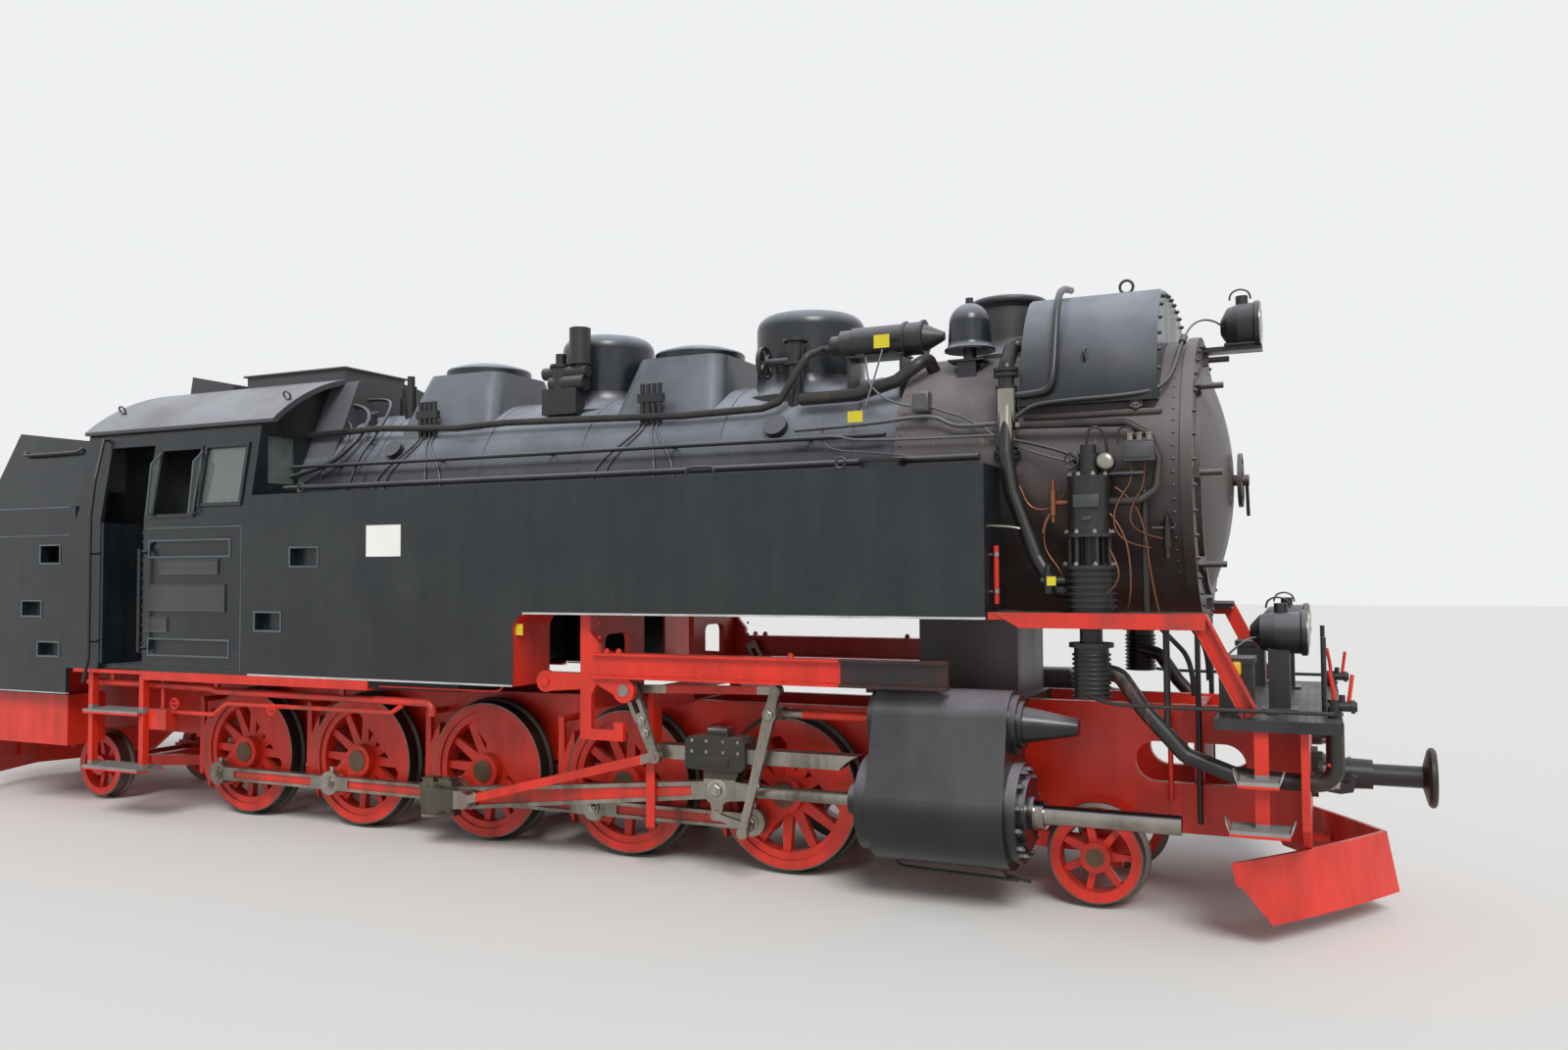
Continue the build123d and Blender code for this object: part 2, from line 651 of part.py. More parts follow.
# Eccentric rods: forked round the link tail in front, plain eye at the return crank
FORK = 70
for name, hand, angle in HANDS:
    foot = link_foot(angle)
    back = return_pin(angle)
    with BuildPart() as eccentric_rod:
        with BuildSketch(side(hand * VALVE_Y)):
            bar(along(foot, back, FORK), back, 60, 56)
            with Locations(back):
                Circle(60)
        extrude(amount=VALVE_W / 2, both=True)
        with BuildSketch(side(hand * VALVE_Y)):
            bar(foot, along(foot, back, FORK + 60), 60, 60)
            with Locations(foot):
                Circle(42)
        extrude(amount=VALVE_W / 2, both=True)
        with BuildSketch(side(hand * VALVE_Y)):
            with Locations(foot):
                Rectangle(2 * FORK, 2 * FORK)
        extrude(amount=TAIL_W / 2 + 1, both=True, mode=Mode.SUBTRACT)
        with BuildSketch(side(hand * VALVE_Y)):
            with Locations(foot):
                Circle(LINK_PIN_R)
        extrude(amount=VALVE_W / 2 + 10, both=True)
    eccentric_rod.part.label = f"eccentric_rod_{name}"
    export_step(eccentric_rod.part, f"parts/eccentric_rod_{name}.step")

# Radius rods held in mid gear by their die blocks, and valve spindles with the lever pins
RADIUS_Y = 958
RADIUS_W = 36
HEAD_Z = CHEST_Z + 150
LEVER_PIN_R = 20
with BuildPart() as radius_rods:
    with BuildSketch(side(-RADIUS_Y)):
        bar(TRUNNION, (LEVER_PIN[0] + 30, HEAD_Z), 52, 52)
        with Locations(TRUNNION, (LEVER_PIN[0] + 30, HEAD_Z)):
            Circle(40)
    extrude(amount=RADIUS_W / 2, both=True)
    with BuildSketch(side(-RADIUS_Y)):
        with Locations(TRUNNION):
            Circle(SLOT_R - SEAT)
    extrude(amount=VALVE_Y + VALVE_W / 2 - RADIUS_Y)
    with BuildSketch(cross(LEVER_PIN[0])):
        with Locations((-CYL_Y, CHEST_Z)):
            Circle(30)
    extrude(amount=CYL_REAR - 40 - LEVER_PIN[0])
    with BuildSketch(side(-CYL_Y)):
        with Locations(LEVER_PIN):
            Rectangle(90, 80)
    extrude(amount=42, both=True)
    with BuildSketch(side(-CYL_Y)):
        with Locations(LEVER_PIN):
            Circle(LEVER_PIN_R)
    extrude(amount=LEVER_Y + LEVER_W / 2 + 8 - CYL_Y)
    mirror(about=Plane.XZ)
radius_rods.part.label = "radius_rods"
export_step(radius_rods.part, "parts/radius_rods.step")

# Combination levers, pinned to the valve spindle and led by the crosshead
LEVER = 773
HEAD = 150
for name, hand, angle in HANDS:
    middle_x = sqrt(MAIN_ROD ** 2 - (CYL_Z - COUPLED_Z) ** 2)
    swing = (wrist_x(angle) - middle_x) / LEVER
    foot = (LEVER_PIN[0] + LEVER * sin(swing), LEVER_PIN[1] - LEVER * cos(swing))
    head = along(LEVER_PIN, foot, -HEAD)
    with BuildPart() as lever:
        with BuildSketch(side(hand * LEVER_Y)):
            bar(head, LEVER_PIN, 60, 76)
            bar(LEVER_PIN, foot, 76, 46)
            for spot, radius in ((head, 38), (LEVER_PIN, 46), (foot, 36)):
                with Locations(spot):
                    Circle(radius)
            with Locations(LEVER_PIN):
                Circle(LEVER_PIN_R + FIT, mode=Mode.SUBTRACT)
        extrude(amount=LEVER_W / 2, both=True)
    lever.part.label = f"combination_lever_{name}"
    export_step(lever.part, f"parts/combination_lever_{name}.step")

# Main frame: two deep plates with pedestals and openings, joined by stretchers
with BuildPart() as main_frame:
    with BuildSketch(side(-(FRAME_Y + FRAME_W / 2))):
        with Locations(((FRONT_PLATE + REAR_PLATE) / 2, (FRAME_TOP + FRAME_BOTTOM) / 2)):
            Rectangle(FRONT_PLATE - REAR_PLATE, FRAME_TOP - FRAME_BOTTOM)
        with Locations((4780, 815)):
            Rectangle(1560, 750)
        for axle_x in COUPLED_X:
            with Locations((axle_x, 560)):
                Rectangle(340, 360)
        with Locations((4950, 850)):
            SlotOverall(620, 240, mode=Mode.SUBTRACT)
    extrude(amount=FRAME_W / 2, both=True)
    with BuildSketch(side(-(FRAME_Y + FRAME_W / 2))):
        for axle_x in COUPLED_X:
            with Locations((axle_x, COUPLED_Z)):
                Circle(AXLE_R + FIT)
    extrude(amount=FRAME_W, both=True, mode=Mode.SUBTRACT)
    mirror(about=Plane.XZ)
    # Stretchers: middle x, length, bottom, top
    for x, length, bottom, top in (
        (-5700, 60, 640, 1080), (-3250, 300, 560, 1080), (-1836, 50, 640, 1080), (-612, 50, 640, 1080),
        (612, 50, 640, 1080), (1600, 50, 660, 1080), (3350, 420, 560, 1060), (5000, 60, 480, 1180),
    ):
        with BuildSketch(side(0)):
            with Locations((x, (bottom + top) / 2)):
                Rectangle(length, top - bottom)
        extrude(amount=FRAME_Y, both=True)
    # Truck pivots hang from the stretchers
    for pivot_x in (LEAD_PIVOT, TRAIL_PIVOT):
        with BuildSketch(level(TRUCK_Z - TRUCK_D / 2 - 20)):
            with Locations((pivot_x, 0)):
                Circle(PIVOT_R)
        extrude(amount=560 - TRUCK_Z + TRUCK_D / 2 + 60)
main_frame.part.label = "main_frame"
export_step(main_frame.part, "parts/main_frame.step")

# Buffer beams across both ends of the frame plates, shallower at their ends
BEAM_HALF = 1080
BEAM_END_LOW = 650
BEAM_WING = 420
AIR_PIPE_R = 45
AIR_PIPE_Y = 900
AIR_PIPE_LOW = 868
# Beams: rear face x, bottom, top
BEAMS = [(FRONT_PLATE, BEAM_LOW_FRONT, 1190), (REAR_PLATE - 40, BEAM_LOW_REAR, BODY_BOTTOM)]
with BuildPart() as buffer_beams:
    for x, bottom, top in BEAMS:
        with BuildSketch(cross(x)):
            with BuildLine():
                Polyline(
                    (-BEAM_HALF, top), (-BEAM_HALF, BEAM_END_LOW), (-BEAM_HALF + BEAM_WING, bottom),
                    (BEAM_HALF - BEAM_WING, bottom), (BEAM_HALF, BEAM_END_LOW), (BEAM_HALF, top), close=True,
                )
            make_face()
            with Locations((-AIR_PIPE_Y, AIR_PIPE_LOW), (AIR_PIPE_Y, AIR_PIPE_LOW)):
                Circle(AIR_PIPE_R + 10, mode=Mode.SUBTRACT)
        extrude(amount=40)
buffer_beams.part.label = "buffer_beams"
export_step(buffer_beams.part, "parts/buffer_beams.step")

# Boiler: clad barrel and firebox casing down to the ashpan
FIREBOX_FRONT = -250
FIREBOX_Y = 560
with BuildPart() as boiler:
    with BuildSketch(cross(CAB_FRONT - 260)):
        with Locations((0, BOILER_Z)):
            Circle(BOILER_R)
    extrude(amount=SMOKEBOX_REAR - CAB_FRONT + 260)
    with BuildSketch(cross(CAB_FRONT - 260)):
        with Locations((0, 1900)):
            Rectangle(2 * BOILER_R, 1260)
    extrude(amount=FIREBOX_FRONT - CAB_FRONT + 260)
    with BuildSketch(cross(CAB_FRONT - 100)):
        with Locations((0, 1195)):
            Rectangle(2 * FIREBOX_Y, 210)
    extrude(amount=FIREBOX_FRONT - CAB_FRONT + 60)
boiler.part.label = "boiler"
export_step(boiler.part, "parts/boiler.step")

# Smokebox: hollow drum on its saddle, with a front ring, a door seat and the door's dog clamps
SADDLE_X = 3620
RING_OUT = 16
CLAMP_R = 752
CLAMP_ANGLES = [137, 180, 223, 90, 270]
with BuildPart() as smokebox:
    with BuildSketch(cross(SMOKEBOX_REAR)):
        with Locations((0, BOILER_Z)):
            Circle(SMOKEBOX_R)
    extrude(amount=SMOKEBOX_FRONT - SMOKEBOX_REAR)
    with BuildSketch(cross(SMOKEBOX_FRONT - 62)):
        with Locations((0, BOILER_Z)):
            Circle(SMOKEBOX_R + RING_OUT)
    extrude(amount=62)
    with BuildSketch(level(1190)):
        with Locations((SADDLE_X, 0)):
            Rectangle(640, 2 * (FRAME_Y + FRAME_W))
    extrude(amount=BOILER_Z - 1190 - 400)
    with BuildSketch(level(FRAME_TOP)):
        with Locations((SADDLE_X, 0)):
            Rectangle(740, 2 * (FRAME_Y + FRAME_W))
    extrude(amount=101)
    with BuildSketch(cross(SMOKEBOX_REAR + SMOKEBOX_WALL)):
        with Locations((0, BOILER_Z)):
            Circle(SMOKEBOX_R - SMOKEBOX_WALL)
    extrude(amount=SMOKEBOX_FRONT - SMOKEBOX_REAR - 2 * SMOKEBOX_WALL, mode=Mode.SUBTRACT)
    with BuildSketch(cross(SMOKEBOX_FRONT - SMOKEBOX_WALL)):
        with Locations((0, BOILER_Z)):
            Circle(DOOR_R - 60)
    extrude(amount=SMOKEBOX_WALL + 10, mode=Mode.SUBTRACT)
    for angle in CLAMP_ANGLES:
        with BuildSketch(cross(SMOKEBOX_FRONT)):
            with Locations(polar((0, BOILER_Z), CLAMP_R, angle)):
                Rectangle(70, 60, rotation=angle)
        extrude(amount=30)
        with BuildSketch(cross(SMOKEBOX_FRONT + 30)):
            with Locations(polar((0, BOILER_Z), CLAMP_R, angle)):
                Circle(18)
        extrude(amount=120)
    with BuildSketch(level(BOILER_Z + SMOKEBOX_R - 60)):
        with Locations((CHIMNEY_X, 0)):
            Circle(180)
    extrude(amount=80, mode=Mode.SUBTRACT)
smokebox.part.label = "smokebox"
export_step(smokebox.part, "parts/smokebox.step")

# Smokebox door: dished disc with hinge straps, handwheel and locking handle
DOOR_HINGE = (SMOKEBOX_FRONT + 46, DOOR_R + 60)
STRAP_D = 70
WHEEL_R = 165
with BuildPart() as smokebox_door:
    with BuildSketch(level(BOILER_Z)):
        with BuildLine():
            rim = Line((SMOKEBOX_FRONT + SEAT, 0), (SMOKEBOX_FRONT + SEAT, DOOR_R))
            edge = Line(rim @ 1, (SMOKEBOX_FRONT + 30, DOOR_R))
            flat = Line(edge @ 1, (SMOKEBOX_FRONT + 30, DOOR_R - 50))
            bulge = ThreePointArc(flat @ 1, (SMOKEBOX_FRONT + 125, DOOR_R * 0.5), (SMOKEBOX_FRONT + 160, 0))
            Line(bulge @ 1, rim @ 0)
        make_face()
    revolve(axis=Axis((0, 0, BOILER_Z), (1, 0, 0)))
    for z in (BOILER_Z - 260, BOILER_Z + 260):
        with BuildSketch(level(z - STRAP_D / 2)):
            bar((SMOKEBOX_FRONT + 60, 300), (DOOR_HINGE[0], DOOR_HINGE[1]), 60, 50)
            with Locations(DOOR_HINGE):
                Circle(32)
        extrude(amount=STRAP_D)
        with BuildSketch(level(z - STRAP_D / 2 - 1)):
            with Locations(DOOR_HINGE):
                Circle(HINGE_ROD_R + FIT)
        extrude(amount=STRAP_D + 2, mode=Mode.SUBTRACT)
    with BuildSketch(cross(SMOKEBOX_FRONT + 140)):
        with Locations((0, BOILER_Z)):
            Circle(34)
    extrude(amount=110)
    with BuildSketch(cross(SMOKEBOX_FRONT + 190)):
        with Locations((0, BOILER_Z)):
            Circle(WHEEL_R)
            Circle(WHEEL_R - 24, mode=Mode.SUBTRACT)
            Rectangle(2 * WHEEL_R - 20, 22, rotation=45)
            Rectangle(2 * WHEEL_R - 20, 22, rotation=135)
    extrude(amount=24)
    with BuildSketch(cross(SMOKEBOX_FRONT + 226)):
        with Locations(polar((0, BOILER_Z), 110, -60)):
            Rectangle(260, 26, rotation=-60)
    extrude(amount=20)
smokebox_door.part.label = "smokebox_door"
export_step(smokebox_door.part, "parts/smokebox_door.step")

# Chimney with its flared base and rolled lip
with BuildPart() as chimney:
    with BuildSketch(side(0)):
        with BuildLine():
            bore = Line((CHIMNEY_X + 175, BOILER_Z + SMOKEBOX_R - 90), (CHIMNEY_X + 175, CHIMNEY_TOP))
            lip = Line(bore @ 1, (CHIMNEY_X + 225, CHIMNEY_TOP))
            ThreePointArc(lip @ 1, (CHIMNEY_X + 250, CHIMNEY_TOP - 25), (CHIMNEY_X + 225, CHIMNEY_TOP - 50))
            barrel = Line((CHIMNEY_X + 225, CHIMNEY_TOP - 50), (CHIMNEY_X + 205, CHIMNEY_TOP - 70))
            wall = Line(barrel @ 1, (CHIMNEY_X + 200, BOILER_Z + SMOKEBOX_R + 110))
            flare = RadiusArc(wall @ 1, (CHIMNEY_X + 290, BOILER_Z + SMOKEBOX_R - 20), -130)
            foot = Line(flare @ 1, (CHIMNEY_X + 290, BOILER_Z + SMOKEBOX_R - 90))
            Line(foot @ 1, bore @ 0)
        make_face()
    revolve(axis=Axis((CHIMNEY_X, 0, 0), (0, 0, 1)))
    with BuildSketch(cross(CHIMNEY_X - 400)):
        with Locations((0, BOILER_Z)):
            Circle(SMOKEBOX_R + SEAT)
    extrude(amount=800, mode=Mode.SUBTRACT)
chimney.part.label = "chimney"
export_step(chimney.part, "parts/chimney.step")

# Domes: two round steam domes with flared skirts and two lidded sandboxes, cut to the barrel.
# Round domes: middle x, radius, top. Sandboxes: middle x, base length, top length, shoulder height
ROUND_DOMES = [(695, 350, 3805), (2395, 385, 3818)]
SANDBOXES = [(-452, 960, 700, 3560), (1496, 900, 700, 3540)]
SKIRT_OUT = 120
SKIRT_Z = 3190
SHOULDER_R = 105
LID_R = 335
LID_H = 66
with BuildPart() as domes:
    for x, radius, top in ROUND_DOMES:
        with BuildSketch(side(0)):
            with BuildLine():
                axis = Line((x, top), (x, BOILER_Z + 400))
                base = Line(axis @ 1, (x + radius + SKIRT_OUT, BOILER_Z + 400))
                edge = Line(base @ 1, (x + radius + SKIRT_OUT, SKIRT_Z))
                skirt = RadiusArc(edge @ 1, (x + radius, SKIRT_Z + 150), 170)
                wall = Line(skirt @ 1, (x + radius, top - SHOULDER_R - 22))
                shoulder = RadiusArc(wall @ 1, (x + radius - SHOULDER_R, top - 22), -SHOULDER_R)
                Line(shoulder @ 1, axis @ 0)
            make_face()
        revolve(axis=Axis((x, 0, 0), (0, 0, 1)))
    for x, base, roof, shoulder_z in SANDBOXES:
        with BuildSketch(level(BOILER_Z + 500)):
            with Locations((x, 0)):
                RectangleRounded(base, 1180, 120)
        with BuildSketch(level(shoulder_z)):
            with Locations((x, 0)):
                RectangleRounded(roof, 700, 120)
        loft()
        with BuildSketch(side(0)):
            with BuildLine():
                stem = Line((x, shoulder_z - 40), (x, shoulder_z + LID_H + 48))
                crown = Line(stem @ 1, (x + LID_R * 0.6, shoulder_z + LID_H + 38))
                slope = Line(crown @ 1, (x + LID_R - 12, shoulder_z + LID_H))
                rim = Line(slope @ 1, (x + LID_R, shoulder_z + LID_H - 14))
                drop = Line(rim @ 1, (x + LID_R, shoulder_z - 40))
                Line(drop @ 1, stem @ 0)
            make_face()
        revolve(axis=Axis((x, 0, 0), (0, 0, 1)))
    with BuildSketch(cross(-1500)):
        with Locations((0, BOILER_Z)):
            Circle(BOILER_R + SEAT)
    extrude(amount=5000, mode=Mode.SUBTRACT)
domes.part.label = "domes"
export_step(domes.part, "parts/domes.step")

# Feedwater heater: clad casing saddled over the smokebox ahead of the chimney, with end flanges
HEATER_REAR = 4085
HEATER_FRONT = 4860
HEATER_TOP = 3700
HEATER_Y = 845
with BuildPart() as feedwater_heater:
    with BuildSketch(cross(HEATER_REAR)):
        with BuildLine():
            ThreePointArc((-HEATER_Y, 2950), (-745, 3390), (-520, 3640))
            ThreePointArc((-520, 3640), (0, HEATER_TOP), (520, 3640))
            ThreePointArc((520, 3640), (745, 3390), (HEATER_Y, 2950))
            Line((HEATER_Y, 2950), (-HEATER_Y, 2950))
        make_face()
        with Locations((0, BOILER_Z)):
            Circle(SMOKEBOX_R + SEAT, mode=Mode.SUBTRACT)
    extrude(amount=HEATER_FRONT - HEATER_REAR)
    fillet(feedwater_heater.faces().sort_by(Axis.X)[-1].edges().sort_by(Axis.Z)[-1:], 24)
    fillet(feedwater_heater.faces().sort_by(Axis.X)[0].edges().sort_by(Axis.Z)[-1:], 24)
feedwater_heater.part.label = "feedwater_heater"
export_step(feedwater_heater.part, "parts/feedwater_heater.step")

# Turbo-generator on its bracket beside the barrel top
GEN_Z = 3490
GEN_Y = -450
# Stages from the rear: start x, length, radius
GEN_STAGES = [(2745, 70, 62), (2815, 85, 92), (2900, 350, 103), (3250, 20, 116), (3270, 100, 106),
              (3370, 20, 116)]
GEN_NOSE = (3390, 3514)
BRACKET_TOP = 3378
with BuildPart() as generator:
    for x, length, radius in GEN_STAGES:
        with BuildSketch(cross(x)):
            with Locations((GEN_Y, GEN_Z)):
                Circle(radius)
        extrude(amount=length)
    with BuildSketch(cross(GEN_NOSE[0])):
        with Locations((GEN_Y, GEN_Z)):
            Circle(88)
    with BuildSketch(cross(GEN_NOSE[1])):
        with Locations((GEN_Y, GEN_Z)):
            Circle(28)
    loft()
    with BuildSketch(level(BRACKET_TOP)):
        with Locations((3070, GEN_Y)):
            Rectangle(400, 210)
    extrude(amount=14)
    with BuildSketch(level(BRACKET_TOP)):
        with Locations((2960, GEN_Y), (3180, GEN_Y)):
            Rectangle(60, 130)
    extrude(amount=60)
    with BuildSketch(side(GEN_Y)):
        with Locations((2890, 3200), (3250, 3200)):
            Rectangle(22, 2 * (BRACKET_TOP - 3200))
    extrude(amount=90, both=True)
    with BuildSketch(cross(2700)):
        with Locations((0, BOILER_Z)):
            Circle(BOILER_R + SEAT)
    extrude(amount=900, mode=Mode.SUBTRACT)
generator.part.label = "generator"
export_step(generator.part, "parts/generator.step")

# Bell with its finial, on a bracket beside the chimney foot
BELL_X = 3694
BELL_Y = -500
BELL_R = 160
BELL_LOW = 3366
BELL_TOP = 3705
with BuildPart() as bell:
    with BuildSketch(side(BELL_Y)):
        with BuildLine():
            Line((BELL_X, 3200), (BELL_X, BELL_TOP))
            finial = Line((BELL_X, BELL_TOP), (BELL_X + 24, BELL_TOP))
            neck = Line(finial @ 1, (BELL_X + 26, BELL_TOP - 36))
            crown = ThreePointArc(neck @ 1, (BELL_X + 92, BELL_TOP - 74), (BELL_X + 128, BELL_TOP - 150))
            flank = Line(crown @ 1, (BELL_X + 136, BELL_LOW + 60))
            flare = ThreePointArc(flank @ 1, (BELL_X + 143, BELL_LOW + 30), (BELL_X + BELL_R, BELL_LOW + 12))
            rim = Line(flare @ 1, (BELL_X + BELL_R, BELL_LOW))
            Polyline(rim @ 1, (BELL_X + 42, BELL_LOW), (BELL_X + 42, 3200), (BELL_X, 3200))
        make_face()
    revolve(axis=Axis((BELL_X, BELL_Y, 0), (0, 0, 1)))
    with BuildSketch(level(3298)):
        with Locations((BELL_X - 10, BELL_Y)):
            Rectangle(230, 150)
    extrude(amount=14)
    with BuildSketch(level(3150)):
        with Locations((BELL_X - 10, BELL_Y)):
            Rectangle(120, 110)
    extrude(amount=148)
    with BuildSketch(cross(BELL_X - 200)):
        with Locations((0, BOILER_Z)):
            Circle(SMOKEBOX_R + SEAT)
    extrude(amount=400, mode=Mode.SUBTRACT)
bell.part.label = "bell"
export_step(bell.part, "parts/bell.step")

# Boiler fittings: safety valves, whistle, valve chests, sand valves, washout covers and check valve.
# Upright round pieces: x, y, radius, bottom, top
UPRIGHT = [
    (-1180, -150, 52, 3200, 3430), (-1180, -150, 36, 3430, 3520), (-1180, 150, 52, 3200, 3430),
    (-1180, 150, 36, 3430, 3520), (-1000, -300, 46, 3180, 3500), (-1000, -300, 30, 3500, 3583),
    (160, 400, 30, 3190, 3560), (767, -500, 78, 3512, 3780), (767, -500, 40, 3400, 3512),
    (600, -500, 62, 3330, 3500), (600, -500, 82, 3500, 3520), (600, -500, 40, 3520, 3600),
    (2495, -500, 55, 3060, 3530), (2495, -500, 84, 3530, 3552), (2495, -500, 84, 3370, 3392),
]
# Lying round pieces, along the engine: start x, y, z, radius, length
LYING = [(455, -500, 3462, 46, 380), (2276, -500, 3404, 26, 200), (520, -500, 3380, 60, 300)]
# Sand valves: middle x of each cluster of four
SAND_VALVES = (-560, 1430)
# Washout covers on the barrel's shoulders: x and radius
WASHOUTS = [(-808, 72), (2434, 80)]
with BuildPart() as boiler_fittings:
    for x, y, radius, low, top in UPRIGHT:
        with BuildSketch(level(low)):
            with Locations((x, y)):
                Circle(radius)
        extrude(amount=top - low)
    for x, y, z, radius, length in LYING:
        with BuildSketch(cross(x)):
            with Locations((y, z)):
                Circle(radius)
        extrude(amount=length)
    with BuildSketch(level(3150)):
        with Locations((620, -500)):
            Rectangle(300, 120)
    extrude(amount=190)
    with BuildSketch(cross(2248)):
        with Locations((-500, 3404)):
            Circle(112)
            Circle(94, mode=Mode.SUBTRACT)
            Rectangle(200, 18, rotation=45)
            Rectangle(200, 18, rotation=135)
            Circle(26)
    extrude(amount=28)
    for middle in SAND_VALVES:
        for step in (-1.5, -0.5, 0.5, 1.5):
            with BuildSketch(level(2990)):
                with Locations((middle + 46 * step, -604)):
                    Circle(17)
            extrude(amount=320)
        with BuildSketch(level(3180)):
            with Locations((middle, -604)):
                Rectangle(200, 44)
        extrude(amount=60)
    for hand in (-1, 1):
        for x, radius in WASHOUTS:
            with BuildSketch(Plane(origin=(x, hand * 610, 2890), x_dir=(1, 0, 0), z_dir=(0, hand, 0.62))):
                Circle(radius)
            extrude(amount=125)
    with BuildSketch(cross(-1500)):
        with Locations((0, BOILER_Z)):
            Circle(BOILER_R + SEAT)
    extrude(amount=5000, mode=Mode.SUBTRACT)
    for x, radius, top in ROUND_DOMES:
        with BuildSketch(side(0)):
            with BuildLine():
                wide = x + radius + SKIRT_OUT + SEAT
                narrow = x + radius + SEAT
                Polyline((x, BOILER_Z), (wide, BOILER_Z), (wide, SKIRT_Z), (narrow, SKIRT_Z + 152),
                         (narrow, top), (x, top), close=True)
            make_face()
        revolve(axis=Axis((x, 0, 0), (0, 0, 1)), mode=Mode.SUBTRACT)
boiler_fittings.part.label = "boiler_fittings"
export_step(boiler_fittings.part, "parts/boiler_fittings.step")

# Side tanks: raised over the motion, deep beside the firebox, with step holes and filler lids.
# Step holes: middle x, middle z, length, height
TANK_HOLES = [(-1175, 2119, 270, 130), (-1536, 1637, 260, 130)]
HOLE_DEPTH = 70
TANK_CORNER = 110
FILLER = (3300, -1020)
with BuildPart() as side_tanks:
    with BuildSketch(side(-SIDE_Y)):
        with BuildLine():
            rise = Polyline((CAB_FRONT, TANK_TOP), (CAB_FRONT, BODY_BOTTOM), (TANK_STEP, BODY_BOTTOM),
                            (TANK_STEP, TANK_RAISED - TANK_CORNER))
            centre = (TANK_STEP + TANK_CORNER, TANK_RAISED - TANK_CORNER)
            turn = ThreePointArc(rise @ 1, polar(centre, TANK_CORNER, 135), polar(centre, TANK_CORNER, 90))
            Polyline(turn @ 1, (TANK_FRONT, TANK_RAISED), (TANK_FRONT, TANK_TOP), rise @ 0)
        make_face()
    extrude(amount=-(SIDE_Y - TANK_IN))
    fillet(side_tanks.edges().filter_by(Axis.Z).sort_by(Axis.X)[-2:], 55)
    with BuildSketch(side(-SIDE_Y)):
        for x, z, length, height in TANK_HOLES:
            with Locations((x, z)):
                Rectangle(length, height)
    extrude(amount=-HOLE_DEPTH, mode=Mode.SUBTRACT)
    with BuildSketch(level(TANK_TOP)):
        with Locations(FILLER):
            Circle(140)
    extrude(amount=46)
    with BuildSketch(level(TANK_TOP + 46)):
        with Locations(FILLER):
            Circle(155)
    extrude(amount=18)
    with BuildSketch(cross(SMOKEBOX_REAR - 30)):
        with Locations((0, BOILER_Z)):
            Circle(SMOKEBOX_R + 12)
    extrude(amount=TANK_FRONT - SMOKEBOX_REAR + 60, mode=Mode.SUBTRACT)
    mirror(about=Plane.XZ)
side_tanks.part.label = "side_tanks"
export_step(side_tanks.part, "parts/side_tanks.step")

# Cab door leaf, and its hinges on the rear edge of the doorway
DOOR_T = 28
DOOR_W = DOOR_FRONT - DOOR_REAR - 30
DOOR_LOW = 1275
DOOR_H = 1145
HINGE_X = DOOR_REAR + DOOR_T / 2
HINGE_Y = SIDE_Y - SHEET / 2
HINGE_PIN_R = 6
KNUCKLES = (1400, 2200)
KNUCKLE_H = 80

# Cab walls: side sheets leaning in above the waist, fixed hinge knuckles, front and rear walls.
# Side windows: middle x, length, bottom, top. Louvres: middle x, middle z, length, height
LEAN = atan2(SIDE_Y - EAVES_Y, EAVES - WAIST_Z)
SLOPE = hypot(SIDE_Y - EAVES_Y, EAVES - WAIST_Z)
SIDE_WINDOWS = [(-2574, 438, 2462, 2992), (-2074, 434, 2540, 2996)]
LOUVRES = [(-2389, 2198, 888, 119), (-2389, 1422, 888, 118)]
LOUVRE_DEPTH = 20
END_WINDOW = (925, 2885, 260, 370)


def leaning(depth):
    """Plane of the right cab side above the waist, sunk by a depth: sketch y runs up the slope."""
    base = (0, depth * cos(LEAN) - SIDE_Y, WAIST_Z - depth * sin(LEAN))
    return Plane(origin=base, x_dir=(1, 0, 0), z_dir=(0, -cos(LEAN), sin(LEAN)))


def up_slope(z):
    """Sketch y on the leaning side for a height."""
    return (z - WAIST_Z) / cos(LEAN)


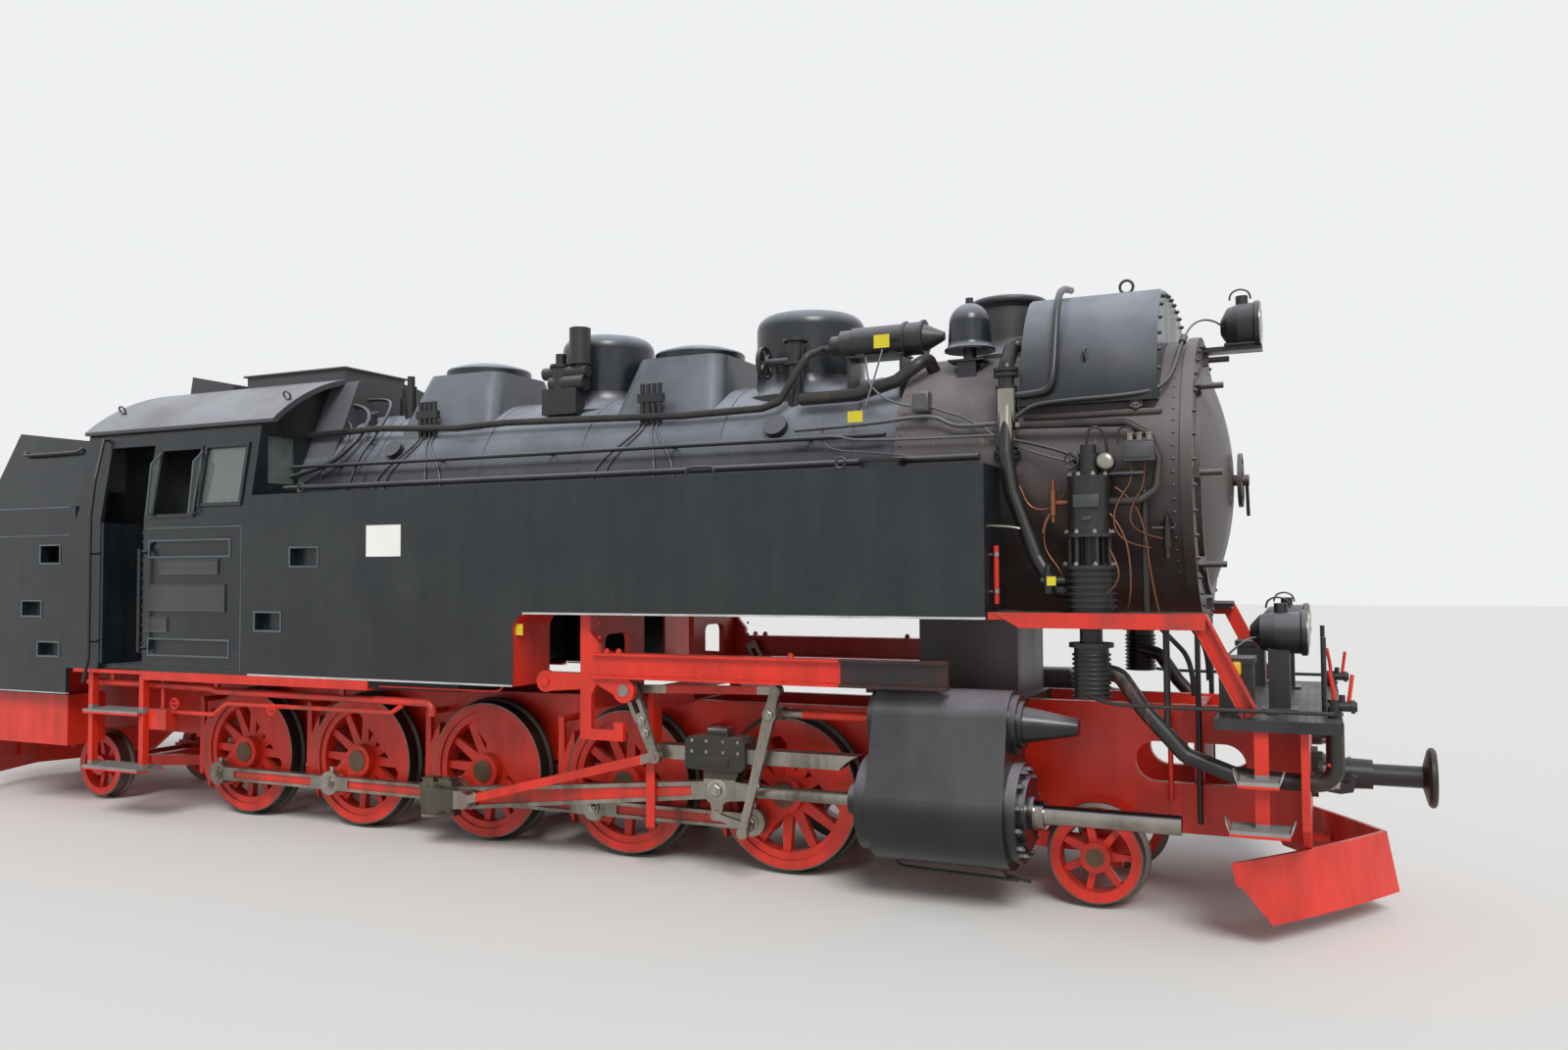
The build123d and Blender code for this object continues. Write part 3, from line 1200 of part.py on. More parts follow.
with BuildPart() as cab_walls:
    with BuildSketch(side(-SIDE_Y)):
        with Locations(((CAB_FRONT + DOOR_FRONT) / 2, (BODY_BOTTOM + WAIST_Z) / 2)):
            Rectangle(CAB_FRONT - DOOR_FRONT, WAIST_Z - BODY_BOTTOM)
        with Locations(((DOOR_REAR + CAB_REAR) / 2, (BODY_BOTTOM + WAIST_Z) / 2)):
            Rectangle(DOOR_REAR - CAB_REAR, WAIST_Z - BODY_BOTTOM)
    extrude(amount=-SHEET)
    with BuildSketch(leaning(0)):
        with Locations(((CAB_FRONT + DOOR_FRONT) / 2, SLOPE / 2)):
            Rectangle(CAB_FRONT - DOOR_FRONT, SLOPE)
        with Locations(((DOOR_REAR + CAB_REAR) / 2, SLOPE / 2)):
            Rectangle(DOOR_REAR - CAB_REAR, SLOPE)
        with Locations(((CAB_FRONT + CAB_REAR) / 2, SLOPE - 60)):
            Rectangle(CAB_FRONT - CAB_REAR, 120)
        for x, length, bottom, top in SIDE_WINDOWS:
            with Locations((x, up_slope((bottom + top) / 2))):
                Rectangle(length, up_slope(top) - up_slope(bottom), mode=Mode.SUBTRACT)
    extrude(amount=-SHEET)
    with BuildSketch(side(-SIDE_Y)):
        for x, z, length, height in LOUVRES:
            with Locations((x, z)):
                SlotOverall(length, height)
    extrude(amount=-LOUVRE_DEPTH, mode=Mode.SUBTRACT)
    for z in KNUCKLES:
        with BuildSketch(level(z)):
            with Locations((HINGE_X, -HINGE_Y)):
                Circle(DOOR_T / 2)
            with Locations((HINGE_X - DOOR_T / 4, -HINGE_Y)):
                Rectangle(DOOR_T / 2, DOOR_T / 2)
            with Locations((HINGE_X, -HINGE_Y)):
                Circle(HINGE_PIN_R + FIT, mode=Mode.SUBTRACT)
        extrude(amount=KNUCKLE_H)
    mirror(about=Plane.XZ)
    for x in (CAB_FRONT - SHEET, CAB_REAR):
        with BuildSketch(cross(x)):
            with BuildLine():
                Polyline((-EAVES_Y, EAVES), (-SIDE_Y, WAIST_Z), (-SIDE_Y, BODY_BOTTOM), (SIDE_Y, BODY_BOTTOM),
                         (SIDE_Y, WAIST_Z), (EAVES_Y, EAVES))
                ThreePointArc((EAVES_Y, EAVES), (0, CROWN - 42), (-EAVES_Y, EAVES))
            make_face()
            with Locations((-END_WINDOW[0], END_WINDOW[1]), (END_WINDOW[0], END_WINDOW[1])):
                Rectangle(END_WINDOW[2], END_WINDOW[3], mode=Mode.SUBTRACT)
            if x == CAB_FRONT - SHEET:
                with Locations((0, BOILER_Z)):
                    Circle(BOILER_R + SEAT, mode=Mode.SUBTRACT)
                with Locations((0, 1800)):
                    Rectangle(2 * BOILER_R + 1, 1460, mode=Mode.SUBTRACT)
        extrude(amount=SHEET)
cab_walls.part.label = "cab_walls"
export_step(cab_walls.part, "parts/cab_walls.step")

# Cab roof: curved sheet with a ventilator box, a raised flap and the turret housing before the cab
ROOF_FRONT = -1590
ROOF_REAR = CAB_REAR - 15
ROOF_OVER = 35
VENT = (-2780, -1660)
VENT_TOP = 3708
FLAP = (-3500, -2960)
FLAP_TOP = 3756
TURRET_FRONT = -1450
with BuildPart() as cab_roof:
    with BuildSketch(cross(ROOF_REAR)):
        with BuildLine():
            Line((-EAVES_Y - ROOF_OVER, EAVES), (-EAVES_Y - ROOF_OVER, EAVES + 26))
            ThreePointArc((-EAVES_Y - ROOF_OVER, EAVES + 26), (0, CROWN), (EAVES_Y + ROOF_OVER, EAVES + 26))
            Line((EAVES_Y + ROOF_OVER, EAVES + 26), (EAVES_Y + ROOF_OVER, EAVES))
            Line((EAVES_Y + ROOF_OVER, EAVES), (EAVES_Y, EAVES))
            ThreePointArc((EAVES_Y, EAVES), (0, CROWN - 42), (-EAVES_Y, EAVES))
            Line((-EAVES_Y, EAVES), (-EAVES_Y - ROOF_OVER, EAVES))
        make_face()
    extrude(amount=ROOF_FRONT - ROOF_REAR)
    with BuildSketch(level(CROWN - 40)):
        with Locations(((VENT[0] + VENT[1]) / 2, 0)):
            Rectangle(VENT[1] - VENT[0], 700)
    extrude(amount=VENT_TOP - CROWN + 40)
    with BuildSketch(level(VENT_TOP - 14)):
        with Locations(((VENT[0] + VENT[1]) / 2, 0)):
            Rectangle(VENT[1] - VENT[0] + 50, 750)
    extrude(amount=14)
    with BuildSketch(side(0)):
        with BuildLine():
            Polyline((FLAP[0], CROWN - 40), (FLAP[0] + 30, FLAP_TOP), (FLAP[1], CROWN + 14),
                     (FLAP[1], CROWN - 40), close=True)
        make_face()
    extrude(amount=340, both=True)
    with BuildSketch(cross(CAB_FRONT)):
        with BuildLine():
            Line((-690, 2900), (-410, 3562))
            ThreePointArc((-410, 3562), (0, CROWN - 24), (410, 3562))
            Polyline((410, 3562), (690, 2900), (-690, 2900))
        make_face()
        with Locations((0, BOILER_Z)):
            Circle(BOILER_R + SEAT, mode=Mode.SUBTRACT)
    extrude(amount=TURRET_FRONT - CAB_FRONT)
cab_roof.part.label = "cab_roof"
export_step(cab_roof.part, "parts/cab_roof.step")

# Cab floor on the frame
with BuildPart() as cab_floor:
    with BuildSketch(level(BODY_BOTTOM)):
        with Locations(((CAB_FRONT - 260 + CAB_REAR + SHEET) / 2, 0)):
            Rectangle(CAB_FRONT - 260 - CAB_REAR - SHEET, 2 * (SIDE_Y - SHEET))
    extrude(amount=40)
    with BuildSketch(level(FRAME_TOP)):
        with Locations((-2750, 0)):
            Rectangle(1100, 2 * (FRAME_Y + FRAME_W))
    extrude(amount=BODY_BOTTOM - FRAME_TOP)
cab_floor.part.label = "cab_floor"
export_step(cab_floor.part, "parts/cab_floor.step")

# Cab window panes: the front side window and the end windows are glazed, the rear side one is open
with BuildPart() as cab_glass:
    with BuildSketch(leaning(SHEET / 2)):
        for x, length, bottom, top in SIDE_WINDOWS[1:]:
            with Locations((x, up_slope((bottom + top) / 2))):
                Rectangle(length, up_slope(top) - up_slope(bottom))
    extrude(amount=3, both=True)
    mirror(about=Plane.XZ)
    for x in (CAB_FRONT - SHEET / 2, CAB_REAR + SHEET / 2):
        with BuildSketch(cross(x)):
            with Locations((-END_WINDOW[0], END_WINDOW[1]), (END_WINDOW[0], END_WINDOW[1])):
                Rectangle(END_WINDOW[2], END_WINDOW[3])
        extrude(amount=3, both=True)
cab_glass.part.label = "cab_glass"
export_step(cab_glass.part, "parts/cab_glass.step")

# Cab half doors up to the waist, swung inward round their hinge pins at the edge
for name, hand, angle in HANDS:
    with BuildPart() as cab_door:
        with BuildSketch(cross(HINGE_X)):
            with Locations((hand * (HINGE_Y - DOOR_W / 2), DOOR_LOW + DOOR_H / 2)):
                Rectangle(DOOR_W, DOOR_H)
        extrude(amount=DOOR_T / 2, both=True)
        with BuildSketch(level(DOOR_LOW)):
            with Locations((HINGE_X, hand * HINGE_Y)):
                Circle(DOOR_T / 2)
        extrude(amount=DOOR_H)
        for z in KNUCKLES:
            with BuildSketch(level(z - 1)):
                with Locations((HINGE_X, hand * HINGE_Y)):
                    Circle(DOOR_T / 2 + 2)
            extrude(amount=KNUCKLE_H + 2, mode=Mode.SUBTRACT)
        with BuildSketch(level(DOOR_LOW)):
            with Locations((HINGE_X, hand * HINGE_Y)):
                Circle(HINGE_PIN_R)
        extrude(amount=DOOR_H)
    cab_door.part.label = f"cab_door_{name}"
    export_step(cab_door.part, f"parts/cab_door_{name}.step")

# Backhead with fire door, regulator and reversing wheel
with BuildPart() as backhead:
    with BuildSketch(cross(CAB_FRONT - 300)):
        with Locations((0, 1720)):
            Rectangle(380, 300)
    extrude(amount=40)
    with BuildSketch(cross(CAB_FRONT - 420)):
        with Locations((-620, 2150)):
            Circle(180)
            Circle(150, mode=Mode.SUBTRACT)
        with Locations((-620, 2150)):
            Rectangle(330, 26)
            Rectangle(26, 330)
    extrude(amount=26)
    with BuildSketch(cross(CAB_FRONT - 420)):
        with Locations((-620, 2150)):
            Circle(24)
    extrude(amount=160)
    with BuildSketch(cross(CAB_FRONT - 380)):
        with Locations((0, 2650)):
            Rectangle(620, 40, rotation=20)
    extrude(amount=24)
    with BuildSketch(cross(CAB_FRONT - 380)):
        with Locations((0, 2650)):
            Circle(30)
    extrude(amount=120)
backhead.part.label = "backhead"
export_step(backhead.part, "parts/backhead.step")

# Bunker: water tank with side skirts and step holes, and a leaning coal hopper behind the cab
BUNKER_SKIRT = 1010
HOPPER_TOP_REAR = -4812
HOPPER_FOOT_REAR = -4990
HOPPER_FRONT_TOP = 3108
HOPPER_WALL = 30
COAL_FLOOR = 1900
BUNKER_HOLES = [(-4048, 2170, 243, 142), (-4277, 1714, 248, 119), (-4052, 1377, 267, 109)]
# Hopper outline: height, rear x and half width
HOPPER = [(BUNKER_SIDE_TOP, HOPPER_FOOT_REAR, 1190), (BUNKER_TOP, HOPPER_TOP_REAR, 1002)]
with BuildPart() as bunker:
    for z, rear, half in HOPPER:
        with BuildSketch(level(z)):
            with Locations(((CAB_REAR + rear) / 2, 0)):
                Rectangle(CAB_REAR - rear, 2 * half)
    loft()
    with BuildSketch(level(BODY_BOTTOM)):
        with Locations(((CAB_REAR + BUNKER_REAR) / 2, 0)):
            Rectangle(CAB_REAR - BUNKER_REAR, 2 * SIDE_Y)
    extrude(amount=BUNKER_SIDE_TOP - BODY_BOTTOM)
    fillet(bunker.edges().filter_by(Axis.Z).sort_by(Axis.X)[:2], 70)
    for z, rear, half in HOPPER:
        with BuildSketch(level(z)):
            with Locations(((CAB_REAR + rear) / 2, 0)):
                Rectangle(CAB_REAR - rear - 2 * HOPPER_WALL, 2 * (half - HOPPER_WALL))
    loft(mode=Mode.SUBTRACT)
    with BuildSketch(level(COAL_FLOOR)):
        with Locations(((CAB_REAR + HOPPER_FOOT_REAR) / 2, 0)):
            Rectangle(CAB_REAR - HOPPER_FOOT_REAR - 2 * HOPPER_WALL, 2 * (HOPPER[0][2] - HOPPER_WALL))
    extrude(amount=BUNKER_SIDE_TOP - COAL_FLOOR + 1, mode=Mode.SUBTRACT)
    with BuildSketch(side(0)):
        with BuildLine():
            Polyline((CAB_REAR + 10, HOPPER_FRONT_TOP), (HOPPER_TOP_REAR - 10, BUNKER_TOP),
                     (HOPPER_TOP_REAR - 10, BUNKER_TOP + 100), (CAB_REAR + 10, BUNKER_TOP + 100), close=True)
        make_face()
    extrude(amount=SIDE_Y, both=True, mode=Mode.SUBTRACT)
    for hand in (-1, 1):
        with BuildSketch(side(hand * SIDE_Y)):
            with Locations(((CAB_REAR - 90 + BUNKER_REAR + 60) / 2, (BUNKER_SKIRT + BODY_BOTTOM) / 2)):
                Rectangle(CAB_REAR - 90 - BUNKER_REAR - 60, BODY_BOTTOM - BUNKER_SKIRT)
        extrude(amount=hand * SHEET)
        with BuildSketch(side(hand * SIDE_Y)):
            for x, z, length, height in BUNKER_HOLES:
                with Locations((x, z)):
                    Rectangle(length, height)
        extrude(amount=hand * HOLE_DEPTH, mode=Mode.SUBTRACT)
bunker.part.label = "bunker"
export_step(bunker.part, "parts/bunker.step")

# Running boards with red edge angles, and the sloping channels down to the platform
CHANNEL_FOOT = 5330
CHANNEL_D = 90
PLATFORM_REAR = 5150
PLATFORM_Y = 1170
BOARD_EDGE = 1180
CHEST_BOX = (5245, 170, 265)
with BuildPart() as running_boards:
    with BuildSketch(level(BOARD_Z - 20)):
        with Locations(((TANK_FRONT + BOARD_FRONT) / 2, -1020)):
            Rectangle(BOARD_FRONT - TANK_FRONT, 320)
        with Locations((PUMP_X, PUMP_Y)):
            Rectangle(310, 310, mode=Mode.SUBTRACT)
    extrude(amount=40)
    with BuildSketch(side(-BOARD_EDGE)):
        with BuildLine():
            Polyline((TANK_FRONT + 27, BOARD_Z + 20), (TANK_FRONT + 177, BOARD_Z - 65),
                     (BOARD_FRONT, BOARD_Z - 65), (BOARD_FRONT, BOARD_Z + 20), close=True)
        make_face()
    extrude(amount=10)
    with BuildSketch(side(-1160)):
        bar((BOARD_FRONT - 40, BOARD_Z), (CHANNEL_FOOT, PLATFORM_Z + 10), CHANNEL_D, CHANNEL_D)
    extrude(amount=-60)
    with BuildSketch(side(-1160)):
        bar((BOARD_FRONT - 40, BOARD_Z), (CHANNEL_FOOT, PLATFORM_Z + 10), CHANNEL_D - 24, CHANNEL_D - 24)
    extrude(amount=-46, mode=Mode.SUBTRACT)
    with BuildSketch(level(PLATFORM_Z)):
        with Locations((CHEST_BOX[0], -800)):
            Rectangle(CHEST_BOX[1], 260)
    extrude(amount=CHEST_BOX[2])
    with BuildSketch(level(PLATFORM_Z + CHEST_BOX[2])):
        with Locations((CHEST_BOX[0], -800)):
            Rectangle(CHEST_BOX[1] + 24, 284)
    extrude(amount=32)
    mirror(about=Plane.XZ)
    with BuildSketch(level(PLATFORM_Z - 25)):
        with Locations(((PLATFORM_REAR + PLATFORM_FRONT) / 2, 0)):
            Rectangle(PLATFORM_FRONT - PLATFORM_REAR, 2 * PLATFORM_Y)
    extrude(amount=25)
    for hand in (-1, 1):
        with BuildSketch(level(PLATFORM_Z - 60)):
            with Locations(((PLATFORM_REAR + PLATFORM_FRONT) / 2, hand * (PLATFORM_Y - 5))):
                Rectangle(PLATFORM_FRONT - PLATFORM_REAR, 10)
        extrude(amount=60)
running_boards.part.label = "running_boards"
export_step(running_boards.part, "parts/running_boards.step")

# Steps: cab steps under the doorways and front steps under the platform, with pressed treads
TREAD_T = 6
TREAD_LIP = 34
STRINGER = 50
# Treads: middle x, length, top, outer y, depth
TREADS = [(-3250, 656, 902, 1250, 240), (-3250, 656, 448, 1250, 240), (5360, 200, 905, 1215, 220),
          (5362, 290, 655, 1215, 220)]
CAB_STRINGERS = (-3553, -2946)
CAB_STRINGER_Y = 1196
CAB_STRINGER_LOW = 408
with BuildPart() as steps:
    for x in CAB_STRINGERS:
        with BuildSketch(level(CAB_STRINGER_LOW)):
            with Locations((x, -CAB_STRINGER_Y)):
                Rectangle(STRINGER, 8)
            with Locations((x + STRINGER / 2 - 4, -CAB_STRINGER_Y + STRINGER / 2)):
                Rectangle(8, STRINGER)
        extrude(amount=BODY_BOTTOM - CAB_STRINGER_LOW)
    with BuildSketch(side(-1130)):
        with Locations((5375, (PLATFORM_Z - 25 + 640) / 2)):
            Rectangle(70, PLATFORM_Z - 25 - 640)
    extrude(amount=8, both=True)
    for x, length, top, outer, depth in TREADS:
        with BuildSketch(cross(x - length / 2)):
            with Locations((-outer + depth / 2, top - TREAD_LIP / 2)):
                Rectangle(depth, TREAD_LIP)
                Rectangle(depth - 2 * TREAD_T, TREAD_LIP, mode=Mode.SUBTRACT)
            with Locations((-outer + depth / 2, top - TREAD_T - 8)):
                Rectangle(depth, TREAD_T)
        extrude(amount=length)
    mirror(about=Plane.XZ)
steps.part.label = "steps"
export_step(steps.part, "parts/steps.step")

# Snow ploughs at both ends: curved raked blades hung from the buffer beams.
# Ploughs: direction, tip, heel, post y, reach of the post's foot, middle and underside of the beam above
PLOUGH_Y = 1130
PLOUGH_LOW = 130
PLOUGH_HIGH = 470
PLOUGH_T = 22
PLOUGH_RAKE = 60
PLOUGHS = [(1, 6050, 5300, 500, 115, FRONT_PLATE + 20, BEAM_LOW_FRONT),
           (-1, 6050, 5500, 250, 28, 20 - REAR_PLATE, BEAM_LOW_REAR)]
with BuildPart() as ploughs:
    for sign, tip, heel, post_y, reach, beam_x, beam_low in PLOUGHS:
        for z, back in ((PLOUGH_LOW, 0), (PLOUGH_HIGH, PLOUGH_RAKE)):
            half = (tip + heel) / 2 - back + 35
            with BuildSketch(level(z)):
                with BuildLine():
                    for turn in (1, -1):
                        front_end = (sign * (heel - back), turn * PLOUGH_Y)
                        back_end = (sign * (heel - back - PLOUGH_T), turn * PLOUGH_Y)
                        front_mid = (sign * half, turn * PLOUGH_Y / 2)
                        back_mid = (sign * (half - PLOUGH_T - 6), turn * PLOUGH_Y / 2)
                        ThreePointArc(front_end, front_mid, (sign * (tip - back), 0))
                        ThreePointArc(back_end, back_mid, (sign * (tip - back - PLOUGH_T - 8), 0))
                        Line(front_end, back_end)
                make_face()
        loft()
        for turn in (1, -1):
            with BuildSketch(side(turn * (PLOUGH_Y + 20))):
                with BuildLine():
                    Polyline((sign * (heel - 110), PLOUGH_LOW - 20), (sign * (heel + 120), PLOUGH_LOW - 20),
                             (sign * (heel - 30), PLOUGH_HIGH - 130), (sign * (heel - 110), PLOUGH_HIGH - 90),
                             close=True)
                make_face()
            extrude(amount=turn * 420, mode=Mode.SUBTRACT)
        with BuildSketch(level(PLOUGH_LOW + 120)):
            for turn in (1, -1):
                with Locations((sign * beam_x, turn * post_y)):
                    Rectangle(36, 70)
        extrude(amount=beam_low - PLOUGH_LOW - 120)
        with BuildSketch(level(PLOUGH_LOW + 150)):
            for turn in (1, -1):
                bar((sign * beam_x, turn * post_y), (sign * (beam_x + reach), turn * post_y), 70, 70)
        extrude(amount=40)
ploughs.part.label = "ploughs"
export_step(ploughs.part, "parts/ploughs.step")

# Couplings: centre buffer with its sprung head and a screw hook at each side, at each end
BUFFER_R = 170
with BuildPart() as couplings:
    for sign, beam_x in ((1, FRONT_PLATE + 40), (-1, -REAR_PLATE + 40)):
        sleeve_end = (beam_x + COUPLER_X) / 2
        with BuildSketch(cross(sign * beam_x)):
            with Locations((0, COUPLER_Z)):
                RectangleRounded(300, 260, 30)
        extrude(amount=sign * 36)
        with BuildSketch(side(0)):
            with BuildLine():
                Polyline(
                    (sign * beam_x, COUPLER_Z), (sign * beam_x, COUPLER_Z + 118),
                    (sign * (beam_x + 60), COUPLER_Z + 118), (sign * (beam_x + 90), COUPLER_Z + 92),
                    (sign * sleeve_end, COUPLER_Z + 84), (sign * sleeve_end, COUPLER_Z + 62),
                    (sign * (COUPLER_X - 70), COUPLER_Z + 62),
                    (sign * (COUPLER_X - 44), COUPLER_Z + BUFFER_R - 14),
                    (sign * (COUPLER_X - 30), COUPLER_Z + BUFFER_R),
                    (sign * (COUPLER_X - 12), COUPLER_Z + BUFFER_R),
                    (sign * COUPLER_X, COUPLER_Z + BUFFER_R - 14), (sign * COUPLER_X, COUPLER_Z), close=True,
                )
            make_face()
        revolve(axis=Axis((0, 0, COUPLER_Z), (1, 0, 0)))
        for turn in (1, -1):
            with BuildSketch(cross(sign * beam_x)):
                with Locations((turn * 330, COUPLER_Z - 20)):
                    Rectangle(120, 120)
            extrude(amount=sign * 22)
            with BuildSketch(side(turn * 330)):
                with BuildLine():
                    Polyline(
                        (sign * beam_x, COUPLER_Z + 6), (sign * (beam_x + 150), COUPLER_Z + 6),
                        (sign * (beam_x + 210), COUPLER_Z + 48), (sign * (beam_x + 236), COUPLER_Z + 30),
                        (sign * (beam_x + 214), COUPLER_Z - 52), (sign * (beam_x + 150), COUPLER_Z - 66),
                        (sign * beam_x, COUPLER_Z - 46), close=True,
                    )
                make_face()
                with Locations((sign * (beam_x + 168), COUPLER_Z + 14)):
                    Circle(26, mode=Mode.SUBTRACT)
            extrude(amount=18, both=True)
couplings.part.label = "couplings"
export_step(couplings.part, "parts/couplings.step")

# Headlamps: one above the smokebox door, two on the platform, three at the rear.
# Front lamps: face x, y, middle z, radius, depth, foot z
LAMPS = [(5370, 0, 3475, 150, 225, 3350), (5600, -660, 1640, 125, 290, PLATFORM_Z),
         (5600, 660, 1640, 125, 290, PLATFORM_Z)]
# Rear lamps: back x, y, middle z
REAR_LAMPS = [(HOPPER_FOOT_REAR + 40, 0, 2930), (BUNKER_REAR, -760, 1500), (BUNKER_REAR, 760, 1500)]
with BuildPart() as headlamps:
    for x, y, z, radius, depth, foot in LAMPS:
        with BuildSketch(side(y)):
            with BuildLine():
                Polyline((x, z), (x, z + radius), (x - 26, z + radius), (x - 34, z + radius - 10))
                Line((x - 34, z + radius - 10), (x - depth * 0.55, z + radius - 14))
                Polyline((x - depth * 0.55, z + radius - 14), (x - depth * 0.82, z + radius * 0.78),
                         (x - depth, z + radius * 0.3), (x - depth, z), (x, z))
            make_face()
        revolve(axis=Axis((0, y, z), (1, 0, 0)))
        with BuildSketch(cross(x)):
            with Locations((y, z)):
                Circle(radius - 16)
        extrude(amount=-14, mode=Mode.SUBTRACT)
        with BuildSketch(level(z)):
            with Locations((x - depth * 0.45, y)):
                Circle(36)
        extrude(amount=radius + 36)
        with BuildSketch(level(foot)):
            with Locations((x - depth / 2, y)):
                Rectangle(110, 130)
        extrude(amount=z - foot)
        with BuildSketch(level(foot)):
            with Locations((x - depth / 2, y)):
                Rectangle(180, 180)
        extrude(amount=14)
    with BuildSketch(level(3320)):
        with Locations((SMOKEBOX_FRONT + 170, 0)):
            Rectangle(340, 130)
    extrude(amount=30)
    for x, y, z in REAR_LAMPS:
        with BuildSketch(cross(x)):
            with Locations((y, z)):
                Circle(110)
        extrude(amount=-150)
        with BuildSketch(cross(x - 150)):
            with Locations((y, z)):
                Circle(118)
                Circle(100, mode=Mode.SUBTRACT)
        extrude(amount=-20)
    with BuildSketch(level(BUNKER_SIDE_TOP)):
        with Locations((HOPPER_FOOT_REAR - 40, 0)):
            Rectangle(60, 80)
    extrude(amount=2860 - BUNKER_SIDE_TOP)
headlamps.part.label = "headlamps"
export_step(headlamps.part, "parts/headlamps.step")

# Air pump on the right and feed pump on the left of the smokebox: stages, flanges, ribs and struts.
# Stages: bottom, top, radius
PUMP_STAGES = [(1290, 1585, 95), (1585, 1700, 62), (1700, 2010, 128), (2010, 2180, 36), (2180, 2510, 118),
               (2510, 2640, 66), (2640, 2690, 44)]
PUMP_FLANGES = [(1560, 1585, 122), (1690, 1712, 150), (1995, 2015, 150), (2172, 2194, 140), (2496, 2514, 120)]
PUMP_RIBS = [1745 + 36 * step for step in range(7)]
PUMP_STRUTS = 6
with BuildPart() as pumps:
    ribs = [(z, z + 12, 146) for z in PUMP_RIBS]
    with BuildSketch(level(2230)):
        with Locations((PUMP_X, (PUMP_Y - 840) / 2)):
            Rectangle(180, -PUMP_Y - 840)
    extrude(amount=240)
    with BuildSketch(cross(PUMP_X - 300)):
        with Locations((0, BOILER_Z)):
            Circle(SMOKEBOX_R + SEAT)
    extrude(amount=600, mode=Mode.SUBTRACT)
    for low, high, radius in PUMP_STAGES + PUMP_FLANGES + ribs:
        with BuildSketch(level(low)):
            with Locations((PUMP_X, PUMP_Y)):
                Circle(radius)
        extrude(amount=high - low)
    with BuildSketch(level(2010)):
        with Locations((PUMP_X, PUMP_Y)):
            with PolarLocations(108, PUMP_STRUTS):
                Circle(13)
    extrude(amount=170)
    mirror(about=Plane.XZ)
pumps.part.label = "pumps"
export_step(pumps.part, "parts/pumps.step")

# Handrails along the barrel, beside the doorways and beside the smokebox door
RAIL_Y = 822
RAIL_Z = 2835
DOOR_RAIL_Y = 1285
with BuildPart() as handrails:
    with BuildSketch(cross(CAB_FRONT)):
        with Locations((-RAIL_Y, RAIL_Z)):
            Circle(15)
    extrude(amount=SMOKEBOX_REAR - CAB_FRONT - 60)
    for x in (-1300, -300, 700, 1700, 2700):
        with BuildSketch(side(-600)):
            with Locations((x, RAIL_Z)):
                Circle(11)
        extrude(amount=RAIL_Y - 600)
    rear_rail = DOOR_REAR - 44
    pipe([(rear_rail - 20, -EAVES_Y - 50, 3118), (rear_rail, -1250, 2780), (rear_rail, -DOOR_RAIL_Y, 2480),
          (rear_rail, -DOOR_RAIL_Y, 1320), (rear_rail - 70, -DOOR_RAIL_Y + 10, 1120)], 28, 120)
    front_rail = DOOR_FRONT + 30
    pipe([(front_rail, -DOOR_RAIL_Y, 1380), (front_rail, -DOOR_RAIL_Y, 2200)], 26, 40)
    for x, z in ((rear_rail, 2172), (rear_rail, 1455), (front_rail, 2172), (front_rail, 1410)):
        with BuildSketch(side(-SIDE_Y)):
            with Locations((x, z)):
                Circle(12)
        extrude(amount=DOOR_RAIL_Y - SIDE_Y)
    with BuildSketch(side(-EAVES_Y - 10)):
        with Locations((rear_rail - 20, 3112)):
            Circle(12)
    extrude(amount=44)
    with BuildSketch(level(PLATFORM_Z)):
        with Locations((5677, -700)):
            Circle(14)
    extrude(amount=405)
    with BuildSketch(cross(-1750)):
        with Locations((0, BOILER_Z)):
            Circle(BOILER_R + SEAT)
    extrude(amount=5050, mode=Mode.SUBTRACT)
    mirror(about=Plane.XZ)
handrails.part.label = "handrails"
export_step(handrails.part, "parts/handrails.step")

# Pipes: air pipes under the cab, lagged steam pipe over the barrel, exhaust column and pump pipes.
# Runs of both sides: points, diameter, bend radius
BOTH_SIDES = [
    ([(-3700, -1110, 1112), (-2260, -1110, 1104), (-2180, -1110, 1084), (-60, -1110, 1076),
      (-60, -1110, 985)], 56, 60),
    ([(-2700, -1110, 900), (-2238, -1110, 899), (-2089, -1110, 990), (-433, -1110, 992),
      (-330, -1110, 1052)], 34, 40),
    ([(PUMP_X, -AIR_PIPE_Y, 1430), (4640, -AIR_PIPE_Y, 1400), (4760, -AIR_PIPE_Y, 1220),
      (4981, -AIR_PIPE_Y, 975),
      (5230, -AIR_PIPE_Y, 885), (5480, -AIR_PIPE_Y, AIR_PIPE_LOW), (5722, -AIR_PIPE_Y, AIR_PIPE_LOW),
      (5722, -AIR_PIPE_Y, PLATFORM_Z - 25 - SEAT)], 2 * AIR_PIPE_R, 90),
    ([(4790, -850, 2440), (4790, -935, 2440), (4790, -935, BOARD_Z + 20)], 36, 40),
]
